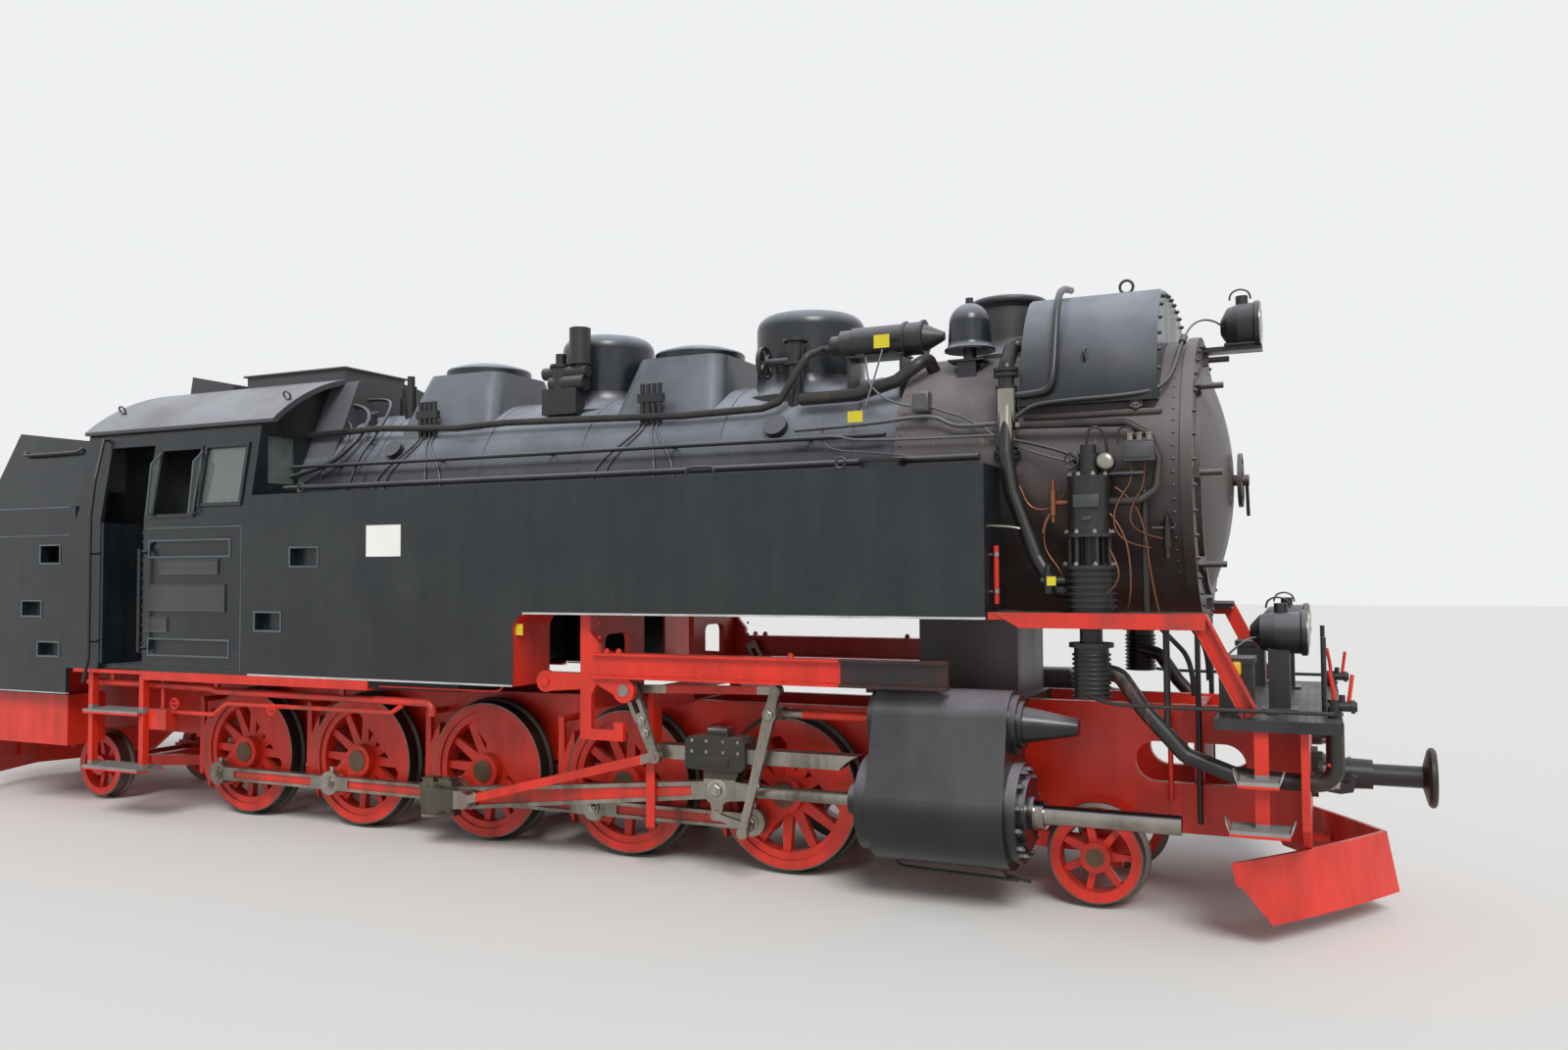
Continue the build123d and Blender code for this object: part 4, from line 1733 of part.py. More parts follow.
# Runs of the right side only
RIGHT_SIDE = [
    ([(CAB_FRONT + 1, -655, 3105), (-1002, -655, 3125), (-230, -655, 3085), (226, -655, 3100),
      (1082, -655, 3080),
      (1718, -655, 3062), (2316, -655, 3074), (2440, -655, 3110), (2640, -650, 3400),
      (2690, -GEN_PIPE_Y, 3470), (GEN_STAGES[0][0] - SEAT, -GEN_PIPE_Y, 3470)], 50, 45),
    ([(2600, -655, 3115), (2990, -655, 3120), (3260, -655, 3190), (3400, -640, 3290), (3440, -560, 3330),
      (3440, -400, 3255)], 84, 70),
    ([(HEATER_REAR - SEAT, -710, 3345), (4014, -710, 3345), (4014, -880, 3185), (4014, -880, 3060),
      (4022, -945, 2663),
      (4060, -960, 2440), (4200, -970, 2060), (4310, PUMP_Y, 1880), (PUMP_X, PUMP_Y, 1870)], 92, 60),
    ([(4075, -905, 2835), (4694, -910, 2816), (4826, -925, 2736), (4871, -935, 2597), (4857, -960, 2432),
      (4766, PUMP_Y, 2370), (PUMP_X, PUMP_Y, 2366)], 46, 55),
    ([(4890, -900, BOARD_Z - 20), (4890, -900, 1120)], 36, 40),
]
# Flanges and the lagged drum on the exhaust column: bottom, top, radius
COLUMN = [(3126, 3146, 74), (3156, 3176, 74), (2700, 3070, 64), (2640, 2660, 78), (2668, 2688, 78)]
COLUMN_X = 4014
COLUMN_Y = -880
with BuildPart() as pipes:
    for points, diameter, bend in BOTH_SIDES:
        pipe(points, diameter, bend)
    for x in (-3400, -2200, -900):
        with BuildSketch(level(1092)):
            with Locations((x, -1110)):
                Rectangle(40, 24)
        extrude(amount=BODY_BOTTOM - 1092)
    with BuildSketch(level(760)):
        with Locations((-2805, -1110)):
            Rectangle(200, 110)
    extrude(amount=160)
    with BuildSketch(level(920)):
        with Locations((-2805, -1110)):
            Circle(16)
    extrude(amount=BODY_BOTTOM - 920)
    mirror(about=Plane.XZ)
    for points, diameter, bend in RIGHT_SIDE:
        pipe(points, diameter, bend)
    for low, top, radius in COLUMN:
        with BuildSketch(level(low)):
            with Locations((COLUMN_X, COLUMN_Y)):
                Circle(radius)
        extrude(amount=top - low)
    with BuildSketch(cross(CAB_FRONT)):
        with Locations((0, BOILER_Z)):
            Circle(BOILER_R + SEAT)
    extrude(amount=SMOKEBOX_REAR - CAB_FRONT, mode=Mode.SUBTRACT)
    with BuildSketch(cross(SMOKEBOX_REAR)):
        with Locations((0, BOILER_Z)):
            Circle(SMOKEBOX_R + SEAT)
    extrude(amount=SMOKEBOX_FRONT - SMOKEBOX_REAR + 200, mode=Mode.SUBTRACT)
    for hand in (-1, 1):
        for low, top, radius in PUMP_STAGES + PUMP_FLANGES + ribs:
            with BuildSketch(level(low)):
                with Locations((PUMP_X, hand * abs(PUMP_Y))):
                    Circle(radius + SEAT)
            extrude(amount=top - low, mode=Mode.SUBTRACT)
pipes.part.label = "pipes"
export_step(pipes.part, "parts/pipes.step")

# Side sills under the cab and tanks, and the closed boxes hung below the bunker
SILL_LOW = 1159
SILL_SPAN = (-2900, -553)
SIDE_BOX = (-4900, -3965)
SIDE_BOX_LOW = 560
SIDE_BOX_TOP = 985
with BuildPart() as side_sills:
    with BuildSketch(side(-SIDE_Y)):
        with Locations((sum(SILL_SPAN) / 2, (SILL_LOW + BODY_BOTTOM) / 2)):
            Rectangle(SILL_SPAN[1] - SILL_SPAN[0], BODY_BOTTOM - SILL_LOW)
        with Locations(((CAB_REAR + SILL_SPAN[0]) / 2, BODY_BOTTOM - 14)):
            Rectangle(SILL_SPAN[0] - CAB_REAR, 28)
    extrude(amount=-12)
    with BuildSketch(side(-SIDE_Y)):
        with Locations((sum(SILL_SPAN) / 2, SILL_LOW + 6)):
            Rectangle(SILL_SPAN[1] - SILL_SPAN[0], 12)
    extrude(amount=-70)
    with BuildSketch(level(SIDE_BOX_LOW)):
        with Locations((sum(SIDE_BOX) / 2, -940)):
            Rectangle(SIDE_BOX[1] - SIDE_BOX[0], 340)
    extrude(amount=SIDE_BOX_TOP - SIDE_BOX_LOW)
    with BuildSketch(level(SIDE_BOX_TOP)):
        with Locations((SIDE_BOX[0] + 120, -940), (SIDE_BOX[1] - 120, -940)):
            Rectangle(60, 240)
    extrude(amount=BODY_BOTTOM - SIDE_BOX_TOP)
    mirror(about=Plane.XZ)
side_sills.part.label = "side_sills"
export_step(side_sills.part, "parts/side_sills.step")

# Brake gear: shoe and hanger behind each coupled wheel, cross beams and pull rods
SHOE_GAP = 6
SHOE_W = 50
SHOE_Y = 548
HANGER_TOP = 930
BRAKE_BEAM_Z = 330
with BuildPart() as brake_gear:
    for axle_x in COUPLED_X:
        hanger_x = axle_x - COUPLED_R - SHOE_GAP - SHOE_W - 18
        with BuildSketch(side(-SHOE_Y)):
            with Locations((axle_x, COUPLED_Z)):
                Circle(COUPLED_R + SHOE_GAP + SHOE_W)
                Circle(COUPLED_R + SHOE_GAP, mode=Mode.SUBTRACT)
            with Locations((axle_x + 350, COUPLED_Z)):
                Rectangle(1600, 1400, mode=Mode.SUBTRACT)
        extrude(amount=34, both=True)
        with BuildSketch(side(-SHOE_Y)):
            bar((hanger_x, HANGER_TOP), (hanger_x, BRAKE_BEAM_Z), 44, 60)
            with Locations((hanger_x + 20, COUPLED_Z)):
                Rectangle(60, 90)
        extrude(amount=15, both=True)
        with BuildSketch(side(0)):
            with Locations((hanger_x, HANGER_TOP), (hanger_x, BRAKE_BEAM_Z)):
                Circle(24)
        extrude(amount=SHOE_Y + 20, both=True)
    with BuildSketch(side(0)):
        with Locations((0, HANGER_TOP)):
            Rectangle(8000, 60)
    extrude(amount=FRAME_Y + FRAME_W, both=True, mode=Mode.SUBTRACT)
    with BuildSketch(side(-180)):
        with Locations((-COUPLED_R - SHOE_GAP - SHOE_W - 18, BRAKE_BEAM_Z)):
            Rectangle(4 * AXLE_PITCH, 50)
    extrude(amount=15, both=True)
    mirror(about=Plane.XZ)
brake_gear.part.label = "brake_gear"
export_step(brake_gear.part, "parts/brake_gear.step")
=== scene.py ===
import bpy
import math
from mathutils import Matrix, Vector


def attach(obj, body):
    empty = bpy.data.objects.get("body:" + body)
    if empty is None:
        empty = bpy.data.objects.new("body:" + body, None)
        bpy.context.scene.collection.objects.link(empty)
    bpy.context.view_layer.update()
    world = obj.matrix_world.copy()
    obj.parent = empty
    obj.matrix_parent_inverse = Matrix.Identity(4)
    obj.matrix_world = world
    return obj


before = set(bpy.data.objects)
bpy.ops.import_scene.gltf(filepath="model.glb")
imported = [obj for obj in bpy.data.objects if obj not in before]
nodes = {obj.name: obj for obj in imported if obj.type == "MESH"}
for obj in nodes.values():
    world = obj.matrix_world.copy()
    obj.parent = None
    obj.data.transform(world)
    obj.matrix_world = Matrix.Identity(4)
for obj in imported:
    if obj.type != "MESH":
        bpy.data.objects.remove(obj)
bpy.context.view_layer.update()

# The photograph's view: a hand-held camera, level with the lower boiler, looking back along the
# engine's right side. Its axes come from the wheel hubs and roof lines.
CAMERA_AT = (5.66, -7.69, 2.0)
CAMERA_YAW = math.radians(24.39)
CAMERA_PITCH = math.radians(2.19)
CAMERA_ROLL = math.radians(-0.36)
CAMERA_LENS = 27
CAMERA_SENSOR = 36

camera = bpy.data.objects.new("camera", bpy.data.cameras.new("camera"))
bpy.context.scene.collection.objects.link(camera)
camera.data.lens = CAMERA_LENS
camera.data.sensor_width = CAMERA_SENSOR
camera.data.sensor_fit = "HORIZONTAL"
camera.data.clip_end = 200
ahead = Matrix.Rotation(CAMERA_YAW, 4, "Z") @ Matrix.Rotation(math.pi / 2 + CAMERA_PITCH, 4, "X")
camera.matrix_world = Matrix.Translation(CAMERA_AT) @ ahead @ Matrix.Rotation(CAMERA_ROLL, 4, "Z")
bpy.context.scene.camera = camera
bpy.context.scene.view_settings.view_transform = "Standard"


# Studio: a plain pale floor under the flange tips, an even pale sky, and one broad soft lamp
# high on the camera's side, so that black paint shows its gloss and red paint its own colour.
def linear(code):
    """Linear colour of an sRGB hex code."""
    parts = [int(code[i:i + 2], 16) / 255 for i in (0, 2, 4)]
    return tuple(p / 12.92 if p <= 0.04045 else ((p + 0.055) / 1.055) ** 2.4 for p in parts) + (1,)


def add(tree, kind, inputs=None, **settings):
    """Adds a shader node, gives it its settings, and sets or links its inputs; a node stands for its first output."""
    made = tree.nodes.new("ShaderNode" + kind)
    for key, value in settings.items():
        setattr(made, key, value)
    for key, value in (inputs or {}).items():
        if isinstance(value, bpy.types.Node):
            value = value.outputs[0]
        if isinstance(value, bpy.types.NodeSocket):
            tree.links.new(value, made.inputs[key])
        else:
            made.inputs[key].default_value = value
    return made


def new_material(name):
    """An empty material and its node tree."""
    made = bpy.data.materials.new(name)
    made.use_nodes = True
    made.node_tree.nodes.clear()
    return made, made.node_tree


def only(*pieces):
    """Selects these pieces and nothing else, with the first one active."""
    bpy.ops.object.select_all(action="DESELECT")
    for piece in pieces:
        piece.select_set(True)
        bpy.context.view_layer.objects.active = pieces[0]


FLOOR_HALF = 60
FLOOR_COLOUR = linear("e4e3e0")
SKY_COLOUR = linear("eef0f2")
SKY_STRENGTH = 0.62
SUN_STRENGTH = 2.1
SUN_ANGLE = math.radians(25)
SUN_TURN = (math.radians(48), 0, math.radians(28))

only()
bpy.ops.mesh.primitive_plane_add(size=2 * FLOOR_HALF)
floor = bpy.context.object
floor.name = "studio_floor"
# Matt studio floor, rolled paint: it takes the engine's shadow and shows no grain.
floor_paint, tree = new_material("studio_floor_rolled_paint")
shader = add(tree, "BsdfPrincipled", {"Base Color": FLOOR_COLOUR, "Roughness": 0.9})
add(tree, "OutputMaterial", {"Surface": shader})
floor.data.materials.append(floor_paint)

world = bpy.data.worlds.new("studio_sky")
bpy.context.scene.world = world
world.use_nodes = True
tree = world.node_tree
tree.nodes.clear()
rays = add(tree, "LightPath")
seen = add(tree, "Math", {0: rays.outputs["Is Camera Ray"], 1: rays.outputs["Is Glossy Ray"]}, operation="MAXIMUM")
seen = add(tree, "Math", {0: seen, 1: rays.outputs["Is Transmission Ray"]}, operation="MAXIMUM")
level = add(tree, "MapRange", {0: seen, 3: SKY_STRENGTH, 4: 1.0})
sky = add(tree, "Background", {"Color": SKY_COLOUR, "Strength": level})
add(tree, "OutputWorld", {"Surface": sky})

sun = bpy.data.objects.new("studio_lamp", bpy.data.lights.new("studio_lamp", "SUN"))
bpy.context.scene.collection.objects.link(sun)
sun.data.energy = SUN_STRENGTH
sun.data.angle = SUN_ANGLE
sun.rotation_euler = SUN_TURN


# Tanks, cab, bunker and boiler cladding are rolled steel sheet, filled, brushed with black gloss
# enamel and wiped with oil. The sheets wave a little and carry streaks, dust and soot. The tank's
# lower edges carry a pale grey strip, and the end face of its step is red like the frame.
BLACK = "161b1f"
BLACK_GRIME = "303335"
BLACK_DUST = "9a9da6"
PALE_EDGE_STRIP = "c6c8c6"
RED = "dd2f1b"
RED_GRIME = "5e1a12"
RED_DUST = "b0604f"
STREAK_WIDTH = 0.05
WAVE_LENGTH = 0.45
CLOUD_SIZE = 0.6
BRUSH_GRAIN = 0.016
STREAK_SQUEEZE = 0.12
WAVE_DEPTH, GRAIN_DEPTH = 0.02, 0.001


def zone(tree, x=None, y=None, z=None, ring=None, pitch=None):
    """1 inside a block of the engine (y counts from its middle), or between two radii about an axle."""
    place = add(tree, "TexCoord")
    axes = add(tree, "SeparateXYZ", {0: place.outputs["Object"]})
    aside = add(tree, "Math", {0: axes.outputs[1]}, operation="ABSOLUTE")
    tests = [(axes.outputs[0], x), (aside, y), (axes.outputs[2], z)]
    if ring:
        off = add(tree, "Math", {0: axes.outputs[0], 1: ring[0]}, operation="SUBTRACT")
        if pitch:
            off = add(tree, "Math", {0: off, 1: pitch / 2, 2: -pitch / 2}, operation="WRAP")
        flat = add(tree, "CombineXYZ", {0: off, 2: axes.outputs[2]})
        radius = add(tree, "VectorMath", {0: flat, 1: (0, 0, ring[1])}, operation="DISTANCE")
        tests.append((radius.outputs["Value"], ring[2:]))
    inside = None
    for value, limits in tests:
        if limits:
            test = add(tree, "Math", {0: value, 1: (limits[0] + limits[1]) / 2, 2: (limits[1] - limits[0]) / 2},
                operation="COMPARE")
            if inside:
                test = add(tree, "Math", {0: inside, 1: test.outputs[0]}, operation="MULTIPLY")
            inside = test.outputs[0]
    return inside


def coat(name, colour, grime, dust_and_sheen, gloss, streak=0.5, metal=0.0, wave=0.35, dust_and_sheen_ramp=(0.5, 0.5), zones=(), patches=()):
    """A brushed or machined surface: its zones in other finishes, patches that break up, streaks, waves, and a pale
    colour on upward faces that is dust and a painted sky sheen.
    """
    made, tree = new_material(name)
    place = add(tree, "TexCoord").outputs["Object"]
    facing = add(tree, "NewGeometry")
    clouds = add(tree, "TexNoise", {"Vector": place, "Scale": 1 / CLOUD_SIZE, "Detail": 5, "Roughness": 0.6})
    down = add(tree, "Mapping", {"Vector": place, "Scale": (1, 1, STREAK_SQUEEZE)})
    runs = add(tree, "TexNoise", {"Vector": down, "Scale": 0.33 / STREAK_WIDTH, "Detail": 6, "Roughness": 0.65})
    tone, shine, bare = linear(colour), gloss, metal
    for limits, other, other_metal, other_gloss in zones:
        inside = zone(tree, **limits)
        tone = add(tree, "Mix", {0: inside, 6: tone, 7: linear(other)}, data_type="RGBA").outputs[2]
        shine = add(tree, "Mix", {0: inside, 2: shine, 3: other_gloss}).outputs[0]
        bare = add(tree, "Mix", {0: inside, 2: bare, 3: other_metal}).outputs[0]
    for limits, other, size, share in patches:
        spots = add(tree, "TexNoise", {"Vector": down, "Scale": 1 / size, "Detail": 8, "Roughness": 0.7})
        broken = add(tree, "MapRange", {0: spots, 1: 0.62 - share / 2, 2: 0.72 - share / 2})
        inside = zone(tree, **limits)
        broken = add(tree, "Math", {0: inside, 1: broken}, operation="MULTIPLY")
        tone = add(tree, "Mix", {0: broken, 6: tone, 7: linear(other)}, data_type="RGBA").outputs[2]
    marks = add(tree, "Math", {0: runs, 1: clouds}, operation="MULTIPLY")
    share = add(tree, "MapRange", {0: marks, 1: 0.16, 2: 0.42, 3: 0.0, 4: streak})
    tone = add(tree, "Mix", {0: share, 6: tone, 7: linear(grime)}, data_type="RGBA")
    # Upward faces are mixed towards the pale colour: partly settled dust, partly a painted sheen of the sky on the
    # tops.
    up = add(tree, "SeparateXYZ", {0: facing.outputs["Normal"]})
    dust_and_sheen_on_top = add(tree, "MapRange", {0: up.outputs[2], 1: dust_and_sheen_ramp[0], 2: 1.0, 3: 0.0, 4: dust_and_sheen_ramp[1]},
        interpolation_type="SMOOTHSTEP")
    uneven = add(tree, "MapRange", {0: clouds, 1: 0.3, 2: 0.6, 3: 0.55, 4: 1.0})
    patchy = add(tree, "Math", {0: dust_and_sheen_on_top, 1: uneven}, operation="MULTIPLY")
    final = add(tree, "Mix", {0: patchy, 6: tone.outputs[2], 7: linear(dust_and_sheen)}, data_type="RGBA")
    worn = add(tree, "MapRange", {0: marks, 1: 0.1, 2: 0.45, 3: 0.0, 4: 0.22})
    rough = add(tree, "Math", {0: shine, 1: worn})
    waves = add(tree, "TexNoise", {"Vector": place, "Scale": 1 / WAVE_LENGTH, "Detail": 2})
    grain = add(tree, "TexNoise", {"Vector": place, "Scale": 1 / BRUSH_GRAIN, "Detail": 3})
    swell = add(tree, "Bump", {"Height": waves, "Strength": wave, "Distance": WAVE_DEPTH})
    fine = add(tree, "Bump", {"Height": grain, "Strength": 0.12, "Distance": GRAIN_DEPTH, "Normal": swell})
    shader = add(tree, "BsdfPrincipled", {"Base Color": final.outputs[2], "Metallic": bare, "Roughness": rough,
            "Normal": fine})
    add(tree, "OutputMaterial", {"Surface": shader})
    return made


def finish_nodes(material, *names):
    """Gives CAD nodes a finish in place of their plain one."""
    for name in names:
        if not nodes[name].material_slots:
            nodes[name].data.materials.append(material)
        for slot in nodes[name].material_slots:
            slot.material = material


# Black gloss enamel, brushed and oiled: mirrors the sky softly, with dull streaks and waves.
black_paint = coat("black_gloss_enamel_brushed", BLACK, BLACK_GRIME, BLACK_DUST, 0.16)
finish_nodes(black_paint, "cab_walls", "cab_door_right", "cab_door_left", "cab_floor")
# The same enamel on the round pieces above, painted pale where they face the sky: a painted sky sheen, with some
# dust.
black_with_sky_sheen_and_dust = coat("black_gloss_enamel_sky_sheen_and_dust", BLACK, BLACK_GRIME, "a9abb8", 0.2, dust_and_sheen_ramp=(-0.05, 0.8))
finish_nodes(black_with_sky_sheen_and_dust, "boiler", "domes", "feedwater_heater", "bell")
# The same enamel with pale grey strips along the lower edges, and the red end of the tank's step.
black_with_pale_edge_strips = coat("black_gloss_enamel_pale_edge_strips", BLACK, BLACK_GRIME, BLACK_DUST, 0.16,
    zones=[(dict(x=(-1.8, 0.72), y=(1.2, 1.3), z=(1.22, 1.24)), PALE_EDGE_STRIP, 0.0, 0.4),
        (dict(x=(0.8, 3.97), y=(1.2, 1.3), z=(1.71, 1.728)), PALE_EDGE_STRIP, 0.0, 0.4),
        (dict(x=(-6.0, -3.7), y=(1.2, 1.3), z=(1.005, 1.02)), PALE_EDGE_STRIP, 0.0, 0.4),
        (dict(x=(0.7, 0.83), y=(0.8, 1.222), z=(1.22, 1.72)), RED, 0.0, 0.3)])
finish_nodes(black_with_pale_edge_strips, "side_tanks", "bunker")


# Roof, chimney and lamp cases: the same enamel gone matt under soot, rain and heat. On the roof's
# upper side it is painted grey, partly dust and partly a painted sky sheen.
roof_paint = coat("roof_matt_enamel_sooty", "3a3b3e", "4b4a4a", "a8a9b1", 0.42, dust_and_sheen_ramp=(0.1, 0.85))
finish_nodes(roof_paint, "cab_roof", "chimney")
# Lamp case enamel: half glossy, painted pale on every upper side, partly ash and partly a painted sky sheen.
lamp_paint = coat("lamp_case_enamel_satin", "1b1d1f", "34322f", "8d8f95", 0.28, dust_and_sheen_ramp=(0.0, 0.7))
finish_nodes(lamp_paint, "headlamps", "generator", "boiler_fittings", "handrails")


# Smokebox: plate that runs hot, so its enamel is burnt to a brown black, with rust showing in
# streaks behind the heater and along its rear edge.
# Its upper side is painted paler, partly ash and partly a painted sky sheen.
smokebox_paint = coat("smokebox_heat_stained_enamel", "292322", "43332c", "8f8789", 0.34, 0.9, dust_and_sheen_ramp=(-0.35, 0.75),
    patches=[(dict(x=(3.25, 4.2), z=(2.55, 3.05)), "5d3a2c", 0.12, 0.12),
        (dict(x=(3.25, 4.98), z=(2.55, 2.84)), "77503c", 0.05, 0.05)])
finish_nodes(smokebox_paint, "smokebox", "smokebox_door")


# Castings: cylinders, pumps, couplings and boards are black and oily, with a bright tail rod tube
# ahead of each cylinder and red edge plates and struts on the running boards.
STEEL = "a39d92"
STEEL_GRIME = "3a342b"
STEEL_DUST = "8f8a80"
# Black enamel over castings, wet with oil: sharp small highlights, and pale on top, partly ash and partly a painted
# sky sheen.
cylinder_black = coat("black_enamel_oiled", "121415", "2b2824", "9a959c", 0.14, 0.7, dust_and_sheen_ramp=(0.0, 0.8),
    zones=[(dict(x=(4.15, 4.97), z=(0.5, 0.7)), STEEL, 1.0, 0.12)])
finish_nodes(cylinder_black, "cylinders")
# Bare cast iron, blackened with oil: dull, with brown in its streaks.
cast_black = coat("oiled_cast_iron_black", "17191a", "322d28", "54524f", 0.3, 0.8)
finish_nodes(cast_black, "pumps", "couplings", "backhead")
# Board enamel, walked on: worn matt and grey.
board_paint = coat("running_board_enamel", "16181a", "3a3531", "6b6864", 0.35, 0.8,
    zones=[(dict(x=(3.9, 5.13), y=(1.172, 1.3), z=(1.6, 1.8)), RED, 0.0, 0.3),
        (dict(x=(4.95, 5.4), y=(1.05, 1.18), z=(1.2165, 1.8)), RED, 0.0, 0.3)])
finish_nodes(board_paint, "running_boards")


# Frame, wheels, brackets and steps: cast and plate steel in orange-red enamel, brushed on thick, with
# a soft gloss and dark runs of oil and brake dust. Pins, axle ends and treads stay bare.
RED_ENAMEL = (RED, RED_GRIME, RED_DUST)
red_paint = coat("orange_red_enamel_brushed", *RED_ENAMEL, 0.28, 0.5)
finish_nodes(red_paint, "main_frame", "buffer_beams", "ploughs", "brake_gear", "side_sills", "lead_truck",
    "trail_truck")
AXLE_Z = 0.528
PITCH = 1.224
CARRYING_Z = 0.303
AXLE_END = "6d614b"
TREAD = "75706a"
wheel_paint = coat("wheel_red_enamel", *RED_ENAMEL, 0.3, 0.6,
    zones=[(dict(y=(0.0, 0.46), ring=(0, AXLE_Z, 0, 0.14), pitch=PITCH), "2a2725", 0.0, 0.4),
        (dict(y=(0.637, 0.66), ring=(0, AXLE_Z, 0, 0.083), pitch=PITCH), AXLE_END, 0.7, 0.4),
        (dict(y=(0.656, 1.3)), STEEL, 1.0, 0.3)])
finish_nodes(wheel_paint, *[f"wheelset_{n}" for n in range(1, 6)])
# Rolled tyre steel: dark brown film on the faces, and the tread polished bright by the rail.
tyre_steel = coat("rolled_tyre_steel", "4a4640", "2c2823", "6e6a63", 0.34, 0.6, 0.8,
    zones=[(dict(y=(0.5935, 0.7), ring=(0, AXLE_Z, 0, 0.486), pitch=PITCH), RED, 0.0, 0.3),
        (dict(y=(0.59, 0.7), ring=(0, AXLE_Z, 0.486, 0.51), pitch=PITCH), TREAD, 0.9, 0.25)])
finish_nodes(tyre_steel, *[f"tyres_{n}" for n in range(1, 6)])
for name, axle_x in (("lead_wheelset", 4.434), ("trail_wheelset", -4.267)):
    carrying = coat(f"{name}_enamel", *RED_ENAMEL, 0.3, 0.6,
        zones=[(dict(ring=(axle_x, CARRYING_Z, 0.262, 0.31)), TREAD, 0.9, 0.3),
            (dict(y=(0.6, 0.9), ring=(axle_x, CARRYING_Z, 0, 0.055)), AXLE_END, 0.7, 0.4)])
    finish_nodes(carrying, name)
bracket_paint = coat("motion_bracket_enamel", *RED_ENAMEL, 0.28, 0.5,
    zones=[(dict(x=(3.04, 4.3)), "17191a", 0.0, 0.3)])
finish_nodes(bracket_paint, "motion_brackets")
GALVANISED = "9b9c9a"
# Hot-dip zinc on the treads shows as pale matt grey in the red steps.
step_paint = coat("step_enamel_with_zinc_treads", *RED_ENAMEL, 0.3, 0.5,
    zones=[(dict(y=(0.95, 1.3), z=(0.885, 0.93)), GALVANISED, 0.6, 0.45),
        (dict(x=(-3.6, -2.9), y=(0.95, 1.3), z=(0.425, 0.475)), GALVANISED, 0.6, 0.45),
        (dict(x=(5.15, 5.6), y=(0.95, 1.3), z=(0.635, 0.68)), GALVANISED, 0.6, 0.45)])
finish_nodes(step_paint, "steps")


# Air, steam and feed pipes: iron pipe in black enamel, red where it runs under the cab, rusty
# where it is hot, with a polished drum on the exhaust column.
pipe_paint = coat("pipe_enamel_black_and_red", "191a1b", "3b332c", "5e5b57", 0.3, 0.8,
    zones=[(dict(x=(-3.8, 0.0), y=(1.04, 1.25), z=(0.5, 1.3)), RED, 0.0, 0.28),
        (dict(x=(3.93, 4.1), y=(0.8, 0.96), z=(2.72, 3.05)), STEEL, 1.0, 0.12)],
    patches=[(dict(x=(4.4, 5.8), z=(0.7, 1.8)), "6e4330", 0.09, 0.1)])
finish_nodes(pipe_paint, "pipes")


# Rods and valve gear: forged steel, machined bright and kept oily, which gives long soft highlights
# with brown between them. The flutes of the main and side rods are painted red.
OILED_STEEL = (STEEL, STEEL_GRIME, STEEL_DUST, 0.26, 0.85, 0.9, 0.1)
motion_steel = coat("oiled_machined_steel", *OILED_STEEL)
finish_nodes(motion_steel, "guide_bars", "expansion_link_right", "expansion_link_left", "combination_lever_right",
    "combination_lever_left")
crosshead_steel = coat("crosshead_steel_black_with_oil", STEEL, STEEL_GRIME, STEEL_DUST, 0.24, 0.85, 0.9, 0.1,
    zones=[(dict(y=(0.945, 1.0), z=(0.7, 0.97)), "2c2a26", 0.2, 0.25),
        (dict(y=(0.9, 0.945), z=(0.66, 0.97)), "4a463e", 0.5, 0.3)])
finish_nodes(crosshead_steel, "crosshead_right", "crosshead_left")
side_rod_steel = coat("side_rod_steel_with_red_flutes", *OILED_STEEL,
    zones=[(dict(y=(0.7225, 0.7255)), RED, 0.0, 0.3), (dict(y=(0.6745, 0.6775)), RED, 0.0, 0.3)])
finish_nodes(side_rod_steel, "side_rod_right", "side_rod_left")
main_rod_steel = coat("main_rod_steel_with_red_flutes", *OILED_STEEL,
    zones=[(dict(y=(0.9045, 0.9075)), RED, 0.0, 0.3), (dict(y=(0.8525, 0.8555)), RED, 0.0, 0.3),
        (dict(x=(-0.45, 0.02), z=(0.24, 0.5)), "5b564a", 0.6, 0.32)])
finish_nodes(main_rod_steel, "main_rod_right", "main_rod_left")
valve_rod_paint = coat("valve_rod_steel_and_enamel", *RED_ENAMEL, 0.28, 0.6,
    zones=[(dict(x=(1.6, 1.95), z=(0.7, 0.9)), STEEL, 0.9, 0.3),
        (dict(x=(-0.6, 0.26), z=(0.1, 0.6)), STEEL, 0.9, 0.3), (dict(x=(1.4, 1.76), z=(0.95, 1.45)), STEEL, 0.9, 0.3),
        (dict(x=(2.42, 2.7), z=(0.95, 1.45)), STEEL, 0.9, 0.3)])
finish_nodes(valve_rod_paint, "eccentric_rod_right", "eccentric_rod_left", "radius_rods")


# Window glass: drawn sheet, thin and faintly green, with the sky's reflection on it.
glass, tree = new_material("window_glass_drawn")
shader = add(tree, "BsdfPrincipled", {"Base Color": linear("dfe8e4"), "Roughness": 0.03, "Transmission Weight": 0.9,
        "IOR": 1.5})
add(tree, "OutputMaterial", {"Surface": shader})
finish_nodes(glass, "cab_glass")


# Rivets: round heads, 22 mm across, driven in rows round the cab's side panels and the smokebox's two
# edge rings. Modelled once as a flattened half ball.
SIDES = (-1, 1)  # right, left
SIDE_FACE = 1.228
RIVET_R = 0.011


def finish_piece(piece, name, finish, body="chassis"):
    """Names a modelled piece, puts its place into its mesh, and gives it its finish and its body."""
    only(piece)
    bpy.ops.object.transform_apply(location=True, rotation=True, scale=True)
    piece.name = name
    piece.data.materials.clear()
    piece.data.materials.append(finish)
    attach(piece, body)
    return piece


